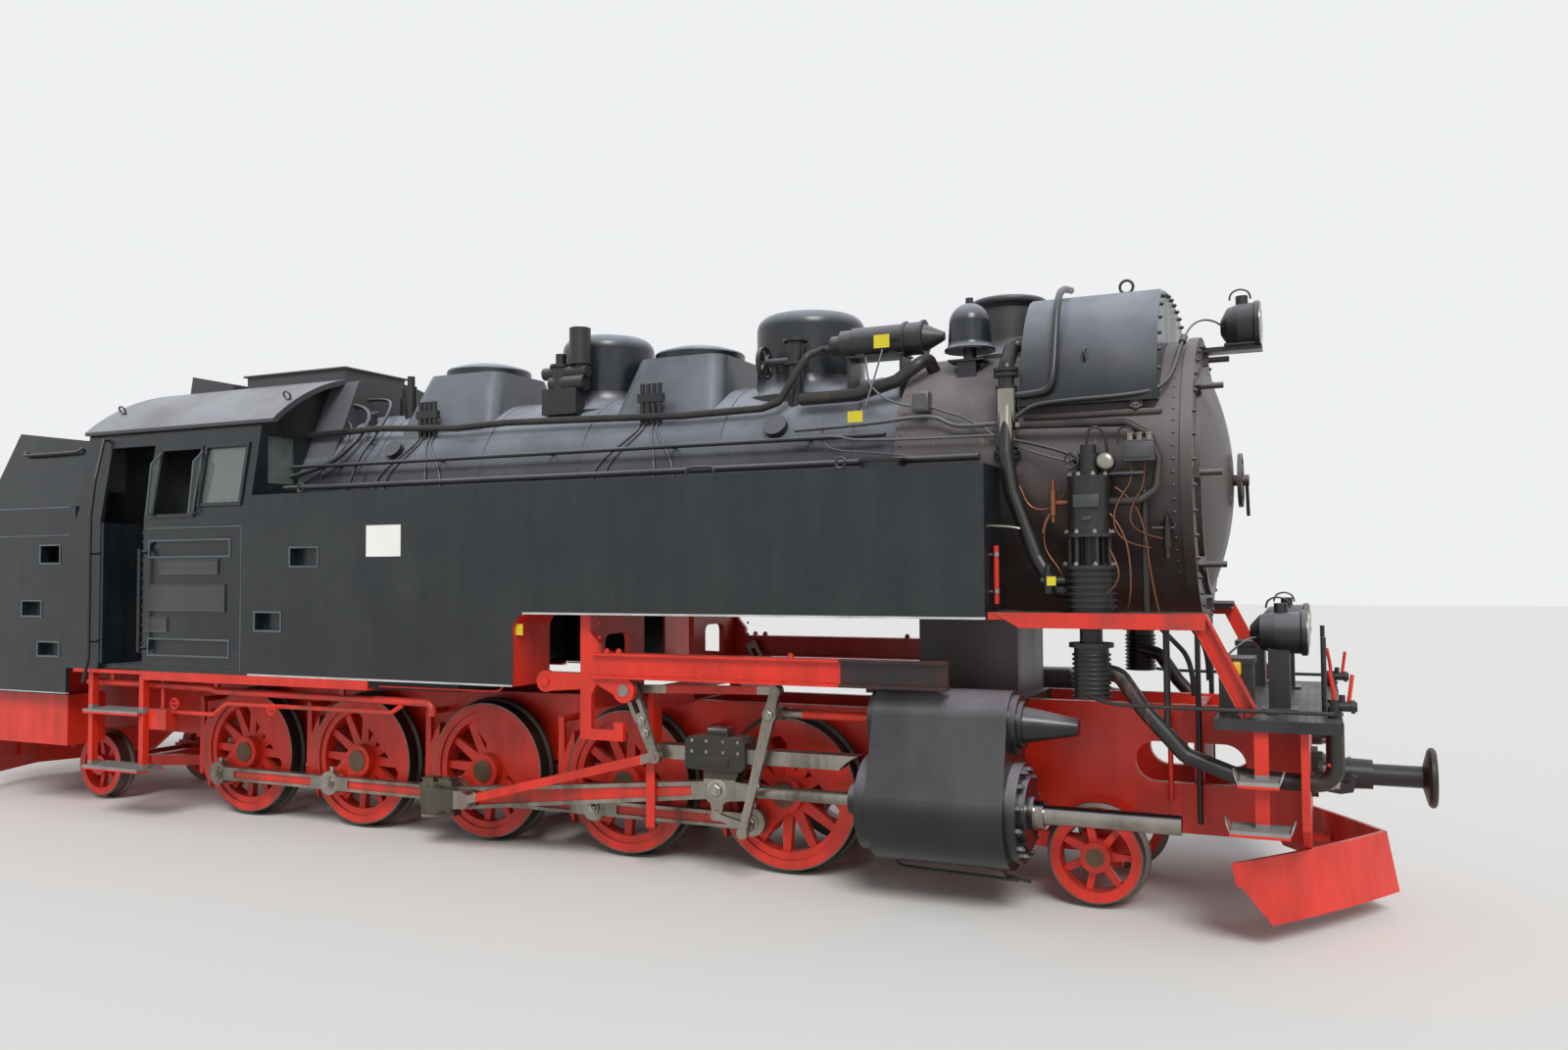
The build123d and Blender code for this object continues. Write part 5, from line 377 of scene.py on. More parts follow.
def edit(piece, pick, faces=True):
    """Opens a piece for editing with the faces (or points) selected that the test picks."""
    only(piece)
    bpy.ops.object.mode_set(mode="EDIT")
    bpy.ops.mesh.select_mode(type="FACE" if faces else "VERT")
    bpy.ops.mesh.select_all(action="DESELECT")
    bpy.ops.object.mode_set(mode="OBJECT")
    for part in (piece.data.polygons if faces else piece.data.vertices):
        part.select = pick(part)
    bpy.ops.object.mode_set(mode="EDIT")


def done(smooth=None):
    """Closes the edit, and smooths the faces that meet at less than an angle."""
    bpy.ops.object.mode_set(mode="OBJECT")
    if smooth:
        bpy.ops.object.shade_smooth_by_angle(angle=math.radians(smooth))
    return bpy.context.object


def twin(piece):
    """A copy of a piece with a mesh of its own."""
    made = piece.copy()
    made.data = piece.data.copy()
    bpy.context.scene.collection.objects.link(made)
    return made


def set_at(piece, spot, axis):
    """Puts a piece at a spot, with its upward axis along another."""
    turn = Vector((0, 0, 1)).rotation_difference(Vector(axis)).to_matrix().to_4x4()
    piece.matrix_world = Matrix.Translation(spot) @ turn


def fasten(seed, places, name, finish, body="chassis"):
    """Copies one small part to each place, with its foot on the face that the normal gives, as one joined piece."""
    copies = []
    for spot, normal in places:
        copies.append(twin(seed))
        set_at(copies[-1], spot, normal)
    only(*copies)
    bpy.ops.object.join()
    return finish_piece(bpy.context.object, name, finish, body)


def row(start, end, pitch):
    """Points from start to end, evenly spaced at about a pitch."""
    run = Vector(end) - Vector(start)
    count = max(1, round(run.length / pitch))
    return [Vector(start) + run * step / count for step in range(count + 1)]


def round_about(x, centre_z, radius, angles):
    """Points and outward normals on a circle across the engine, by angles from the top, to the right."""
    return [((x, -radius * math.sin(math.radians(a)), centre_z + radius * math.cos(math.radians(a))),
            (0, -math.sin(math.radians(a)), math.cos(math.radians(a)))) for a in angles]


only()
bpy.ops.mesh.primitive_uv_sphere_add(segments=8, ring_count=4, radius=RIVET_R)
rivet = bpy.context.object
edit(rivet, lambda part: part.co.z < -0.001, faces=False)
bpy.ops.mesh.delete(type="VERT")
done(60)
rivet.scale.z = 0.55
bpy.ops.object.transform_apply(scale=True)

CAB_ROWS = [((-2.91, 1.3), (-2.91, 2.33), 0.075), ((-1.872, 1.3), (-1.872, 2.33), 0.075),
    ((-2.85, 1.283), (-1.91, 1.283), 0.062), ((-2.78, 2.403), (-2.41, 2.403), 0.055),
    ((-2.26, 2.387), (-1.89, 2.387), 0.055), ((-2.153, 2.292), (-1.9, 2.292), 0.042)]
heads = []
for hand in SIDES:
    for (x0, z0), (x1, z1), pitch in CAB_ROWS:
        for spot in row((x0, hand * SIDE_FACE, z0), (x1, hand * SIDE_FACE, z1), pitch):
            heads.append((spot, (0, hand, 0)))
fasten(rivet, heads, "cab_rivets", black_paint)
BOILER_Z = 2.53
SMOKEBOX_R = 0.867
rings = []
for x in (3.34, 4.94):
    rings += round_about(x, BOILER_Z, SMOKEBOX_R, range(-130, 131, 5))
fasten(rivet, rings, "smokebox_rivets", smokebox_paint)


# Hexagon nuts: bright or painted, 35 or 22 mm across their flats, round the cylinder covers, the
# heater's front flange, the smokebox front ring and the pump's flanges. Each stands on its stud.
def rise(height, grow=1):
    """Draws the selected faces out by a height, and widens them there."""
    bpy.ops.mesh.extrude_region_move(TRANSFORM_OT_translate={"value": (0, 0, height)})
    bpy.ops.transform.resize(value=(grow, grow, 1))


def drum(sides, radius, height):
    """An upright cylinder with its foot at the origin."""
    only()
    bpy.ops.mesh.primitive_cylinder_add(vertices=sides, radius=radius, depth=height, location=(0, 0, height / 2))
    bpy.ops.object.transform_apply(location=True)
    return bpy.context.object


def nut(size, height):
    """One nut on its stud: a six-sided block with its crown inset, and the stud's end above it."""
    made = drum(6, size / 2, height)
    edit(made, lambda part: part.normal.z > 0.9)
    bpy.ops.mesh.inset(thickness=size * 0.08, depth=size * 0.05)
    bpy.ops.mesh.inset(thickness=size * 0.12, depth=0)
    rise(height * 0.4)
    return done()


# Turned steel, oiled: bright, with thin brown lines of oil.
bright_steel = coat("turned_steel_oiled", "b3aea4", "4a4338", "8f8a80", 0.22, 0.6, 1.0, 0.05)
cover_nut = nut(0.04, 0.022)
small_nut = nut(0.026, 0.014)
CYLINDER_Y, CYLINDER_Z = 0.88, 0.59
COVER_FACE, COVER_BOLTS_R = 4.095, 0.246
covers = []
for hand in SIDES:
    for step in range(12):
        a = math.radians(15 + 30 * step)
        covers.append(((COVER_FACE, hand * CYLINDER_Y + COVER_BOLTS_R * math.cos(a),
                CYLINDER_Z + COVER_BOLTS_R * math.sin(a)), (1, 0, 0)))
fasten(cover_nut, covers, "cylinder_cover_nuts", cylinder_black)


# Blank plates: cast plates with a raised rim, screwed to the cab sides, and a white enamelled sheet
# on the right tank. All are left bare.
def cube(centre, size):
    """A box about its centre, square to the engine."""
    only()
    bpy.ops.mesh.primitive_cube_add(size=1, location=centre)
    made = bpy.context.object
    made.scale = size
    bpy.ops.object.transform_apply(location=True, scale=True)
    return made


def plate(x_low, x_high, z_low, z_high, hand, thick=0.012, rim=0.008):
    """A plate on the engine's side with its field sunk inside a rim."""
    made = cube(((x_low + x_high) / 2, hand * (SIDE_FACE + thick / 2), (z_low + z_high) / 2),
        (x_high - x_low, thick, z_high - z_low))
    edit(made, lambda part: part.normal.y * hand > 0.9)
    bpy.ops.mesh.inset(thickness=rim, depth=0)
    bpy.ops.mesh.inset(thickness=rim * 0.4, depth=-thick * 0.4)
    return done()


def join(parts, name, finish, body="chassis"):
    """Joins finished parts into one piece."""
    only(*parts)
    bpy.ops.object.join()
    return finish_piece(bpy.context.object, name, finish, body)


# Cast aluminium, painted dark grey: dull, with soft highlights on the rim.
plate_metal = coat("cast_aluminium_plate_painted", "35383a", "55565a", "8a8c90", 0.35, 0.4)
CAB_PLATES = [(-2.717, -2.059, 1.993, 2.112), (-2.843, -1.98, 1.707, 1.918), (-2.889, -2.616, 1.539, 1.66)]
join([plate(*limits, hand) for limits in CAB_PLATES for hand in SIDES], "cab_plates", plate_metal)
# Vitreous enamel: flat glossy white on thin sheet.
sign_white = coat("vitreous_enamel_white", "eceae6", "b9b5ad", "cfccc6", 0.2, 0.25, wave=0.1)
join([plate(-0.569, -0.251, 2.114, 2.339, -1, 0.004, 0.004)], "tank_sign", sign_white)


# Frames round the step holes and louvres: flat bar bent to the opening and welded on, standing
# 6 mm proud, with its edges rubbed light.
def frame_round(centre, width, height, strip, proud, normal):
    """A flat frame round an opening, lying in a plane with that normal."""
    only()
    bpy.ops.mesh.primitive_plane_add(size=1)
    made = bpy.context.object
    made.scale = (width + 2 * strip, height + 2 * strip, 1)
    bpy.ops.object.transform_apply(scale=True)
    edit(made, lambda part: True)
    bpy.ops.mesh.inset(thickness=strip)
    bpy.ops.mesh.delete(type="FACE")
    bpy.ops.mesh.select_all(action="SELECT")
    rise(proud)
    bpy.ops.mesh.select_all(action="SELECT")
    bpy.ops.mesh.normals_make_consistent()
    done()
    out = Vector(normal).normalized()
    along = Vector((-1, 0, 0)) if out.y > 0 else Vector((1, 0, 0))
    turn = Matrix((along, out.cross(along), out)).transposed().to_4x4()
    made.matrix_world = Matrix.Translation(centre) @ turn
    return made


HOLES = [(-1.175, 2.119, 0.27, 0.13), (-1.536, 1.637, 0.26, 0.13), (-4.048, 2.17, 0.243, 0.142),
    (-4.277, 1.714, 0.248, 0.119), (-4.052, 1.377, 0.267, 0.109), (-2.389, 2.198, 0.888, 0.119),
    (-2.389, 1.422, 0.888, 0.118)]
# Enamel rubbed thin at an edge: a lighter grey line round each opening.
edge_worn = coat("enamel_worn_at_edges", "5c6165", "3a3d3f", "9a9da6", 0.3, 0.6)
join([frame_round((x, hand * SIDE_FACE, z), w, h, 0.012, 0.006, (0, hand, 0)) for x, z, w, h in HOLES
        for hand in SIDES], "hole_frames", edge_worn)


# Side windows: a pressed frame round each light on the leaning upper side, and at the open one two
# upright glass wings in thin frames that stand out and keep the wind off.
LEAN = (1.228 - 1.112) / (3.16 - 2.45)


def side_y(z):
    """How far out the cab's leaning side lies at a height."""
    return SIDE_FACE - max(0.0, z - 2.45) * LEAN


window_frames = []
for x, width, low, high in ((-2.574, 0.438, 2.462, 2.992), (-2.074, 0.434, 2.54, 2.996)):
    for hand in SIDES:
        middle = (low + high) / 2
        window_frames.append(frame_round((x, hand * side_y(middle), middle), width - 0.01, high - low - 0.01, 0.028,
                0.014, (0, hand, LEAN)))
join(window_frames, "side_window_frames", black_paint)

WING_Z, WING_HEIGHT, WING_OUT, WING_THICK = 2.72, 0.5, 0.085, 0.014
FRAME_PROUD = 0.014
wing_bars, panes = [], []
for x in (-2.815, -2.335):
    for hand in SIDES:
        wing = cube((x, hand * (side_y(WING_Z) + FRAME_PROUD + WING_OUT / 2), WING_Z),
            (WING_THICK, WING_OUT, WING_HEIGHT))
        edit(wing, lambda part: part.co.y * hand > 1.24 and part.co.z > 2.9, faces=False)
        bpy.ops.transform.translate(value=(0, 0, -0.09))
        bpy.ops.mesh.select_all(action="DESELECT")
        done()
        edit(wing, lambda part: part.co.z > 2.8, faces=False)
        bpy.ops.transform.translate(value=(0, -hand * 0.04, 0))
        done()
        panes.append(twin(wing))
        edit(wing, lambda part: abs(part.normal.x) > 0.9)
        bpy.ops.mesh.inset(thickness=0.012, depth=0)
        bpy.ops.mesh.bridge_edge_loops()
        done()
        wing_bars.append(wing)
for pane in panes:
    middle = sum((v.co for v in pane.data.vertices), Vector()) / len(pane.data.vertices)
    pane.location = middle
    pane.data.transform(Matrix.Translation(-middle))
    pane.scale = (0.3, 0.78, 0.92)
join(wing_bars, "wind_wing_frames", edge_worn)
join(panes, "wind_wing_panes", glass)


# Thin pipes: steel sand pipes bent down over the boiler, a long pipe and a grab handle on each tank
# top and bunker side. Each is a line drawn through its bends with a round section.
def pipe_run(name, routes, finish, bevel=2):
    """Round pipes as one piece; each route is a diameter in millimetres and its points in metres."""
    line = bpy.data.curves.new(name, "CURVE")
    line.dimensions = "3D"
    line.bevel_depth = 0.001
    line.bevel_resolution = bevel
    line.resolution_u = 5
    line.use_fill_caps = True
    for diameter, points in routes:
        spline = line.splines.new("NURBS")
        spline.points.add(len(points) - 1)
        for spot, point in zip(spline.points, points):
            spot.co = (*point, 1)
            spot.radius = diameter / 2
        spline.order_u = 3
        spline.use_endpoint_u = True
    made = bpy.data.objects.new(name, line)
    bpy.context.scene.collection.objects.link(made)
    only(made)
    bpy.ops.object.convert(target="MESH")
    made = bpy.context.object
    bpy.ops.object.shade_smooth_by_angle(angle=math.radians(55))
    return finish_piece(made, name, finish)


def both(routes):
    """The routes of the left side's pipes, mirrored onto the right side too."""
    return [(diameter, [(x, hand * y, z) for x, y, z in points]) for hand in SIDES for diameter, points in routes]


SAND_PIPE_R = 0.797


def on_boiler(x, angle):
    """Middle of a pipe that lies on the boiler cladding, at an angle from the top, to the right."""
    a = math.radians(angle)
    return (x, -SAND_PIPE_R * math.sin(a), BOILER_Z + SAND_PIPE_R * math.cos(a))


# Steel conduit, weathered: dull grey, and pale on top, partly ash and partly a painted sky sheen.
conduit_grey = coat("steel_conduit_weathered", "5a5a5c", "2e2b29", "a9abb3", 0.35, 0.6, 0.3, dust_and_sheen_ramp=(0.0, 0.7))
SAND_BENDS = ((0, 45), (0, 52), (0.1, 58), (0.8, 72), (1, 80), (1, 90))
sand = []
for x in (-0.56, 1.43):
    for shift, foot in ((-0.07, -0.3), (-0.035, -0.24), (0.03, 0.1), (0.06, 0.22)):
        sand.append((16, [on_boiler(x + shift + foot * share, -angle) for share, angle in SAND_BENDS]))
pipe_run("sand_pipes", both(sand), conduit_grey)

TOP_PIPE_Y, TANK_TOP = 0.93, 2.595
pipe_run("tank_top_pipes", both([(44, [(-1.7, TOP_PIPE_Y, 2.66), (1.0, TOP_PIPE_Y, 2.655), (3.2, TOP_PIPE_Y, 2.66),
        (3.86, TOP_PIPE_Y, 2.66)])]), lamp_paint)
handles = []
for x0, x1, z, y in ((2.036, 2.232, TANK_TOP, 1.19), (-4.206, -3.939, 2.57, 1.15)):
    handles.append((18, [(x0, y, z), (x0, y, z + 0.05), (x0 + 0.03, y, z + 0.055), (x1 - 0.03, y, z + 0.055),
            (x1, y, z + 0.05), (x1, y, z)]))
pipe_run("tank_grab_handles", both(handles), lamp_paint)


# Lifting eyes: forged rings screwed into the tank tops and the roof.
def eye(radius, wire):
    """An upright ring with its foot at the origin."""
    only()
    bpy.ops.mesh.primitive_torus_add(major_radius=radius, minor_radius=wire, major_segments=16, minor_segments=8,
        location=(0, 0, radius + wire), rotation=(math.pi / 2, 0, 0))
    made = bpy.context.object
    bpy.ops.object.transform_apply(location=True, rotation=True)
    edit(made, lambda part: part.co.z < radius * 0.4, faces=False)
    bpy.ops.transform.resize(value=(1, 1.8, 1))
    return done(60)


ring = eye(0.032, 0.008)
fasten(ring, [((x, hand * 1.19, TANK_TOP), (0, 0, 1)) for x in (3.085, -1.25) for hand in SIDES], "lifting_eyes",
    lamp_paint)


# Yellow inspection tags: small square brass tags, lacquered yellow and left blank, wired to valves
# and pipes.
# Lacquer on brass: a strong clean yellow, half glossy.
tag_yellow = coat("tag_lacquer_yellow", "d8c62a", "8a7c1e", "c9bd62", 0.35, 0.3, wave=0.1)
TAGS = [(3.155, -0.64, 3.455, 0.105, 0.085), (3.045, -0.835, 2.955, 0.1, 0.07), (0.745, -1.19, 1.61, 0.065, 0.075),
    (4.32, -1.17, 1.93, 0.05, 0.05)]
tags = []
for x, y, z, w, h in TAGS:
    tag = cube((x, y, z), (w, 0.003, h))
    edit(tag, lambda part: part.normal.y < -0.9)
    bpy.ops.mesh.inset(thickness=0.005, depth=0)
    bpy.ops.mesh.inset(thickness=0.002, depth=-0.001)
    tags.append(done())
join(tags, "inspection_tags", tag_yellow)


# Generator and exhaust side: conduits and small pipes along the smokebox's rear edge, a junction box,
# and the steam loop over the heater.
pipe_run("generator_conduits", [(14, [(3.039, -0.62, 3.36), (3.06, -0.66, 3.24), (3.121, -0.74, 3.14),
        (3.269, -0.8, 3.03), (3.4, -0.815, 3.0)]),
        (26, [(2.6, -0.76, 2.9), (2.85, -0.8, 2.9), (3.19, -0.84, 2.907), (3.415, -0.855, 2.925),
        (3.574, -0.86, 2.923), (3.66, -0.86, 2.87), (3.75, -0.87, 2.848), (3.96, -0.875, 2.856)]),
        (16, [(2.6, -0.79, 2.85), (2.95, -0.85, 2.84), (3.03, -0.88, 2.8), (3.58, -0.89, 2.785),
        (3.95, -0.9, 2.785)]),
        (10, [(2.786, -0.72, 2.98), (2.795, -0.8, 2.83), (2.87, -0.83, 2.76), (2.99, -0.84, 2.74),
        (3.28, -0.87, 2.71), (3.45, -0.89, 2.68)]),
        (12, [(3.16, -0.64, 3.4), (3.14, -0.7, 3.25), (3.1, -0.8, 3.02)]),
        (14, [(3.5, -0.8, 3.0), (3.62, -0.815, 2.95), (3.78, -0.85, 2.9), (4.05, -0.9, 2.7), (4.4, -0.98, 2.6)])],
    conduit_grey)
pipe_run("heater_loop_pipe", [(44, [(4.29, -0.3, 3.735), (4.29, -0.55, 3.7), (4.29, -0.72, 3.6), (4.29, -0.8, 3.4),
        (4.29, -0.875, 3.14), (4.27, -0.885, 3.04), (4.2, -0.885, 3.015), (4.02, -0.88, 3.01)]),
        (26, [(4.05, -0.9, 2.86), (4.12, -0.885, 2.93), (4.24, -0.875, 2.965), (4.78, -0.86, 2.975),
        (4.9, -0.8, 3.03), (4.94, -0.68, 3.15), (4.95, -0.56, 3.26), (4.965, -0.44, 3.34)]),
        (44, [(4.962, -0.47, 3.32), (4.968, -0.4, 3.365)]),
        (18, [(4.05, -0.93, 2.75), (4.3, -0.96, 2.69), (4.45, -0.985, 2.62)])], lamp_paint)
box = cube((3.475, -0.815, 3.02), (0.105, 0.09, 0.125))
edit(box, lambda part: True)
bpy.ops.mesh.bevel(offset=0.008, segments=2)
bpy.ops.mesh.select_all(action="DESELECT")
done()
edit(box, lambda part: part.normal.y < -0.99)
bpy.ops.mesh.inset(thickness=0.006, depth=0.006)
join([done(40)], "junction_box", conduit_grey)


# Heater front flange: small nuts all round the bolted end plate, and behind it two lifting rings
# on the top.
HEATER_FRONT = 4.86
heater_bolts = []
for y, z in ((-0.8, 3.02), (-0.795, 3.13), (-0.775, 3.24), (-0.745, 3.34), (-0.69, 3.44), (-0.615, 3.53),
        (-0.51, 3.6), (-0.38, 3.63), (-0.24, 3.65), (-0.08, 3.66)):
    for hand in SIDES:
        heater_bolts.append(((HEATER_FRONT, -hand * y, z), (1, 0, 0)))
fasten(small_nut, heater_bolts, "heater_flange_nuts", black_with_sky_sheen_and_dust)
heater_ring = eye(0.04, 0.009)
fasten(heater_ring, [((4.62, y, 3.685), (0, 0, 1)) for y in (-0.25, 0.25)], "heater_rings", lamp_paint)


# Smokebox front ring: a forged ring that the door closes on, held by hexagon nuts all round.
RING_FACE, RING_NUTS_R = 5.04, 0.828
ring_nuts = []
for step in range(36):
    a = math.radians(5 + 10 * step)
    ring_nuts.append(((RING_FACE, RING_NUTS_R * math.sin(a), BOILER_Z + RING_NUTS_R * math.cos(a)), (1, 0, 0)))
fasten(small_nut, ring_nuts, "smokebox_ring_nuts", smokebox_paint)


# Lamps: a domed clear lens in a bright rim, behind it a silvered bowl, and a wire handle over each
# of the front ones.
lens_glass, tree = new_material("lamp_lens_pressed_glass")
# Pressed glass: clear, with faint rings that break up the light.
place = add(tree, "TexCoord")
ripple = add(tree, "TexNoise", {"Vector": place.outputs["Object"], "Scale": 1 / 0.02})
bump = add(tree, "Bump", {"Height": ripple, "Strength": 0.1, "Distance": 0.002})
shader = add(tree, "BsdfPrincipled", {"Base Color": linear("f2f4f2"), "Roughness": 0.05, "Transmission Weight": 0.85,
        "IOR": 1.5, "Normal": bump})
add(tree, "OutputMaterial", {"Surface": shader})
# Silver behind the lens: mirrors the sky, tarnished in runs.
silvered = coat("lamp_bowl_silvered", "d9d8d2", "a09a8c", "c9c8c4", 0.08, 0.2, 1.0, 0.05)


DISH_STEPS = ((0.16, 0.45), (0.22, 0.3), (0.28, 0.18), (0.34, 0.07))


def disc(x, y, z, radius, depth, ahead, steps=32):
    """A dished disc across the engine, from a cylinder whose end is inset and drawn out."""
    only()
    bpy.ops.mesh.primitive_cylinder_add(vertices=steps, radius=radius, depth=0.004)
    made = bpy.context.object
    for share, lift in DISH_STEPS:
        edit(made, lambda part: part.normal.z > 0.9 and part.center.xy.length < radius * 0.02)
        bpy.ops.mesh.inset(thickness=radius * share * 0.7, depth=depth * lift)
        done()
    done(50)
    set_at(made, (x, y, z), (ahead, 0, 0))
    return made


def hoop(x, y, z, radius, wire, steps=32):
    """A round rim across the engine, its section spun about its middle."""
    only()
    bpy.ops.mesh.primitive_circle_add(vertices=8, radius=wire, location=(radius, 0, 0), rotation=(math.pi / 2, 0, 0))
    made = bpy.context.object
    bpy.ops.object.transform_apply(location=True, rotation=True)
    edit(made, lambda part: True, faces=False)
    bpy.ops.mesh.spin(steps=steps, angle=2 * math.pi, axis=(0, 0, 1))
    bpy.ops.mesh.select_all(action="SELECT")
    bpy.ops.mesh.remove_doubles(threshold=0.00001)
    bpy.ops.mesh.normals_make_consistent()
    done()
    bpy.ops.object.shade_smooth()
    made.matrix_world = Matrix.Translation((x, y, z)) @ Matrix.Rotation(math.pi / 2, 4, "Y")
    return made


LAMPS = [(5.356, 0, 3.475, 0.133, 1), (5.586, -0.66, 1.64, 0.108, 1), (5.586, 0.66, 1.64, 0.108, 1),
    (-5.1, 0, 2.93, 0.099, -1), (-6.05, -0.76, 1.5, 0.099, -1), (-6.05, 0.76, 1.5, 0.099, -1)]
join([disc(x + ahead * 0.003, y, z, r, -0.001, ahead) for x, y, z, r, ahead in LAMPS], "lamp_bowls", silvered)
join([disc(x + ahead * 0.012, y, z, r - 0.004, 0.016, ahead) for x, y, z, r, ahead in LAMPS], "lamp_lenses",
    lens_glass)
join([hoop(x + ahead * 0.015, y, z, r + 0.004, 0.006) for x, y, z, r, ahead in LAMPS], "lamp_rims", bright_steel)
lamp_handles = []
for x, y, z, r in ((5.26, 0, 3.475, 0.15), (5.455, -0.66, 1.64, 0.125), (5.455, 0.66, 1.64, 0.125)):
    top = z + r
    lamp_handles.append((11, [(x - 0.06, y - 0.03, top + 0.01), (x - 0.06, y - 0.04, top + 0.05),
            (x, y - 0.05, top + 0.075), (x + 0.06, y - 0.04, top + 0.05), (x + 0.06, y - 0.03, top + 0.01)]))
pipe_run("lamp_handles", lamp_handles, lamp_paint)


# Step treads: galvanised open grating, flat bars on edge crossed by rods, dropped into the frames.
BAR_PITCH, BAR_COUNT, ROD_PITCH = 0.028, 8, 0.045


def grating(x, length, top, outer, depth, hand):
    """One tread panel: bars along the engine and rods across, from one bar and one rod."""
    low, high = x - length / 2 + 0.008, x + length / 2 - 0.008
    near, far = outer - 0.008, outer - depth + 0.008
    panel = []
    for size, start, step, count in (((high - low, 0.004, 0.016), ((low + high) / 2, near - 0.012), (0, -BAR_PITCH),
                BAR_COUNT), ((0.005, near - far, 0.005), (low + 0.02, (near + far) / 2), (ROD_PITCH, 0), 0)):
        count = count or int((high - low - 0.03) / ROD_PITCH)
        bar = cube((*start, top - 0.006), size)
        many = bar.modifiers.new("set", "ARRAY")
        many.use_relative_offset = False
        many.use_constant_offset = True
        many.constant_offset_displace = (*step, 0)
        many.count = count
        bpy.ops.object.modifier_apply(modifier="set")
        if hand < 0:
            bar.scale.y = -1
            bpy.ops.object.transform_apply(scale=True)
            edit(bar, lambda part: True)
            bpy.ops.mesh.normals_make_consistent()
            done()
        panel.append(bar)
    return panel


# Hot-dip zinc: pale matt grey with darker blotches.
zinc = coat("galvanised_grating", "a3a4a2", "6b6a67", "bdbdbb", 0.42, 0.5, 0.7, 0.05)
TREADS = [(-3.25, 0.656, 0.902, 1.25, 0.24), (-3.25, 0.656, 0.448, 1.25, 0.24), (5.36, 0.2, 0.905, 1.215, 0.22),
    (5.362, 0.29, 0.655, 1.215, 0.22)]
join([bar for tread in TREADS for hand in SIDES for bar in grating(*tread, hand)], "step_gratings", zinc)


# Rods and crossheads: oil cups with hinged lids over every pin, hexagon nuts on the crank pins, cast
# grease boxes on the big ends, and bolted oil boxes and a washered nut on the crossheads.
def oil_cup(radius, height):
    """A turned cup with a lipped lid."""
    made = drum(14, radius, height)
    edit(made, lambda part: part.normal.z > 0.9)
    rise(0.002, 1.2)
    rise(0.007)
    bpy.ops.mesh.inset(thickness=radius * 0.35, depth=0.006)
    return done(40)


def lidded_box(width, height):
    """A cast grease box with a lid that overhangs it."""
    made = cube((0, 0, height / 2), (width, 0.85 * width, height))
    edit(made, lambda part: part.normal.z > 0.9)
    rise(0.001, 1.16)
    rise(0.007)
    bpy.ops.mesh.inset(thickness=width * 0.3, depth=0)
    rise(0.01)
    return done()


def block(low, high, edge=0.004):
    """A plate or box between two corners, its edges rounded."""
    made = cube([(a + b) / 2 for a, b in zip(low, high)], [abs(b - a) for a, b in zip(low, high)])
    edit(made, lambda part: True)
    bpy.ops.mesh.bevel(offset=edge, segments=2)
    return done(40)


# Forged steel under old oil: olive brown, darker than the rods.
big_end_steel = coat("big_end_steel_olive_oiled", "7c7563", "2f2a20", "8f8a7c", 0.3, 0.9, 0.8, 0.1)
grease_box = lidded_box(0.096, 0.062)
cup = oil_cup(0.02, 0.03)
big_nut = nut(0.082, 0.026)
pin_nut = nut(0.062, 0.018)
CRANK_THROW = 0.25
SIDE_ROD_Y, PIN_END_Y = 0.7, 0.75
WRIST_Z = CYLINDER_Z
LEVER_PIN = (2.522, 1.095)
CRANKS = (("right", -1, 222.4, 2.114), ("left", 1, 312.4, 2.465))
for name, hand, turn, wrist_x in CRANKS:
    pin_x = CRANK_THROW * math.cos(math.radians(turn))
    pin_z = AXLE_Z + CRANK_THROW * math.sin(math.radians(turn))
    up, out = (0, 0, 1), (0, hand, 0)
    main_rod, crosshead = f"main_rod_{name}", f"crosshead_{name}"
    fasten(cup, [((pin_x + PITCH * step, hand * SIDE_ROD_Y, pin_z + 0.086), up) for step in (-2, -1, 1, 2)],
        f"side_rod_cups_{name}", bright_steel, f"side_rod_{name}")
    for axle, step in ((1, 2), (2, 1), (4, -1), (5, -2)):
        fasten(pin_nut, [((pin_x + PITCH * step, hand * PIN_END_Y, pin_z), out)], f"crank_nut_{name}_{axle}",
            bright_steel, f"axle_{axle}")
    fasten(grease_box, [((pin_x + shift, hand * CYLINDER_Y, pin_z + 0.08), up) for shift in (-0.078, 0.072)],
        f"big_end_cups_{name}", big_end_steel, main_rod)
    fasten(pin_nut, [((pin_x + dx, hand * 0.9195, pin_z + dz), out) for dx in (-0.09, 0.12)
            for dz in (-0.055, 0.055)], f"big_end_bolts_{name}", big_end_steel, main_rod)
    fasten(big_nut, [((wrist_x, hand * 0.94, WRIST_Z), out)], f"wrist_nut_{name}", bright_steel, crosshead)
    slipper = [((wrist_x + dx, hand * 0.955, z), out) for dx in (-0.165, -0.06, 0.06, 0.165) for z in (0.835, 0.905)]
    fasten(small_nut, slipper, f"slipper_bolts_{name}", bright_steel, crosshead)
    washer = disc(0, 0, 0, 0.078, 0.012, 1)
    washer.matrix_world = Matrix.Translation((wrist_x, hand * 0.936, WRIST_Z)) @ Matrix.Rotation(-hand * math.pi / 2,
        4, "X")
    join([washer], f"wrist_washer_{name}", bright_steel, crosshead)
    cap = block((wrist_x - 0.07, hand * 0.83, 0.945), (wrist_x + 0.07, hand * 0.93, 0.985))
    panel = block((wrist_x - 0.13, hand * 0.955, 0.745), (wrist_x + 0.1, hand * 0.978, 0.805))
    join([cap, panel], f"slipper_oil_boxes_{name}", crosshead_steel, crosshead)
    fasten(pin_nut, [((x, hand * 1.022, z), out) for x, z in ((1.605, 1.02), (1.635, 0.94))], f"link_bolts_{name}",
        bright_steel, f"expansion_link_{name}")
    fasten(pin_nut, [((LEVER_PIN[0], hand * 1.017, LEVER_PIN[1]), out)], f"lever_pin_nut_{name}", bright_steel,
        f"combination_lever_{name}")


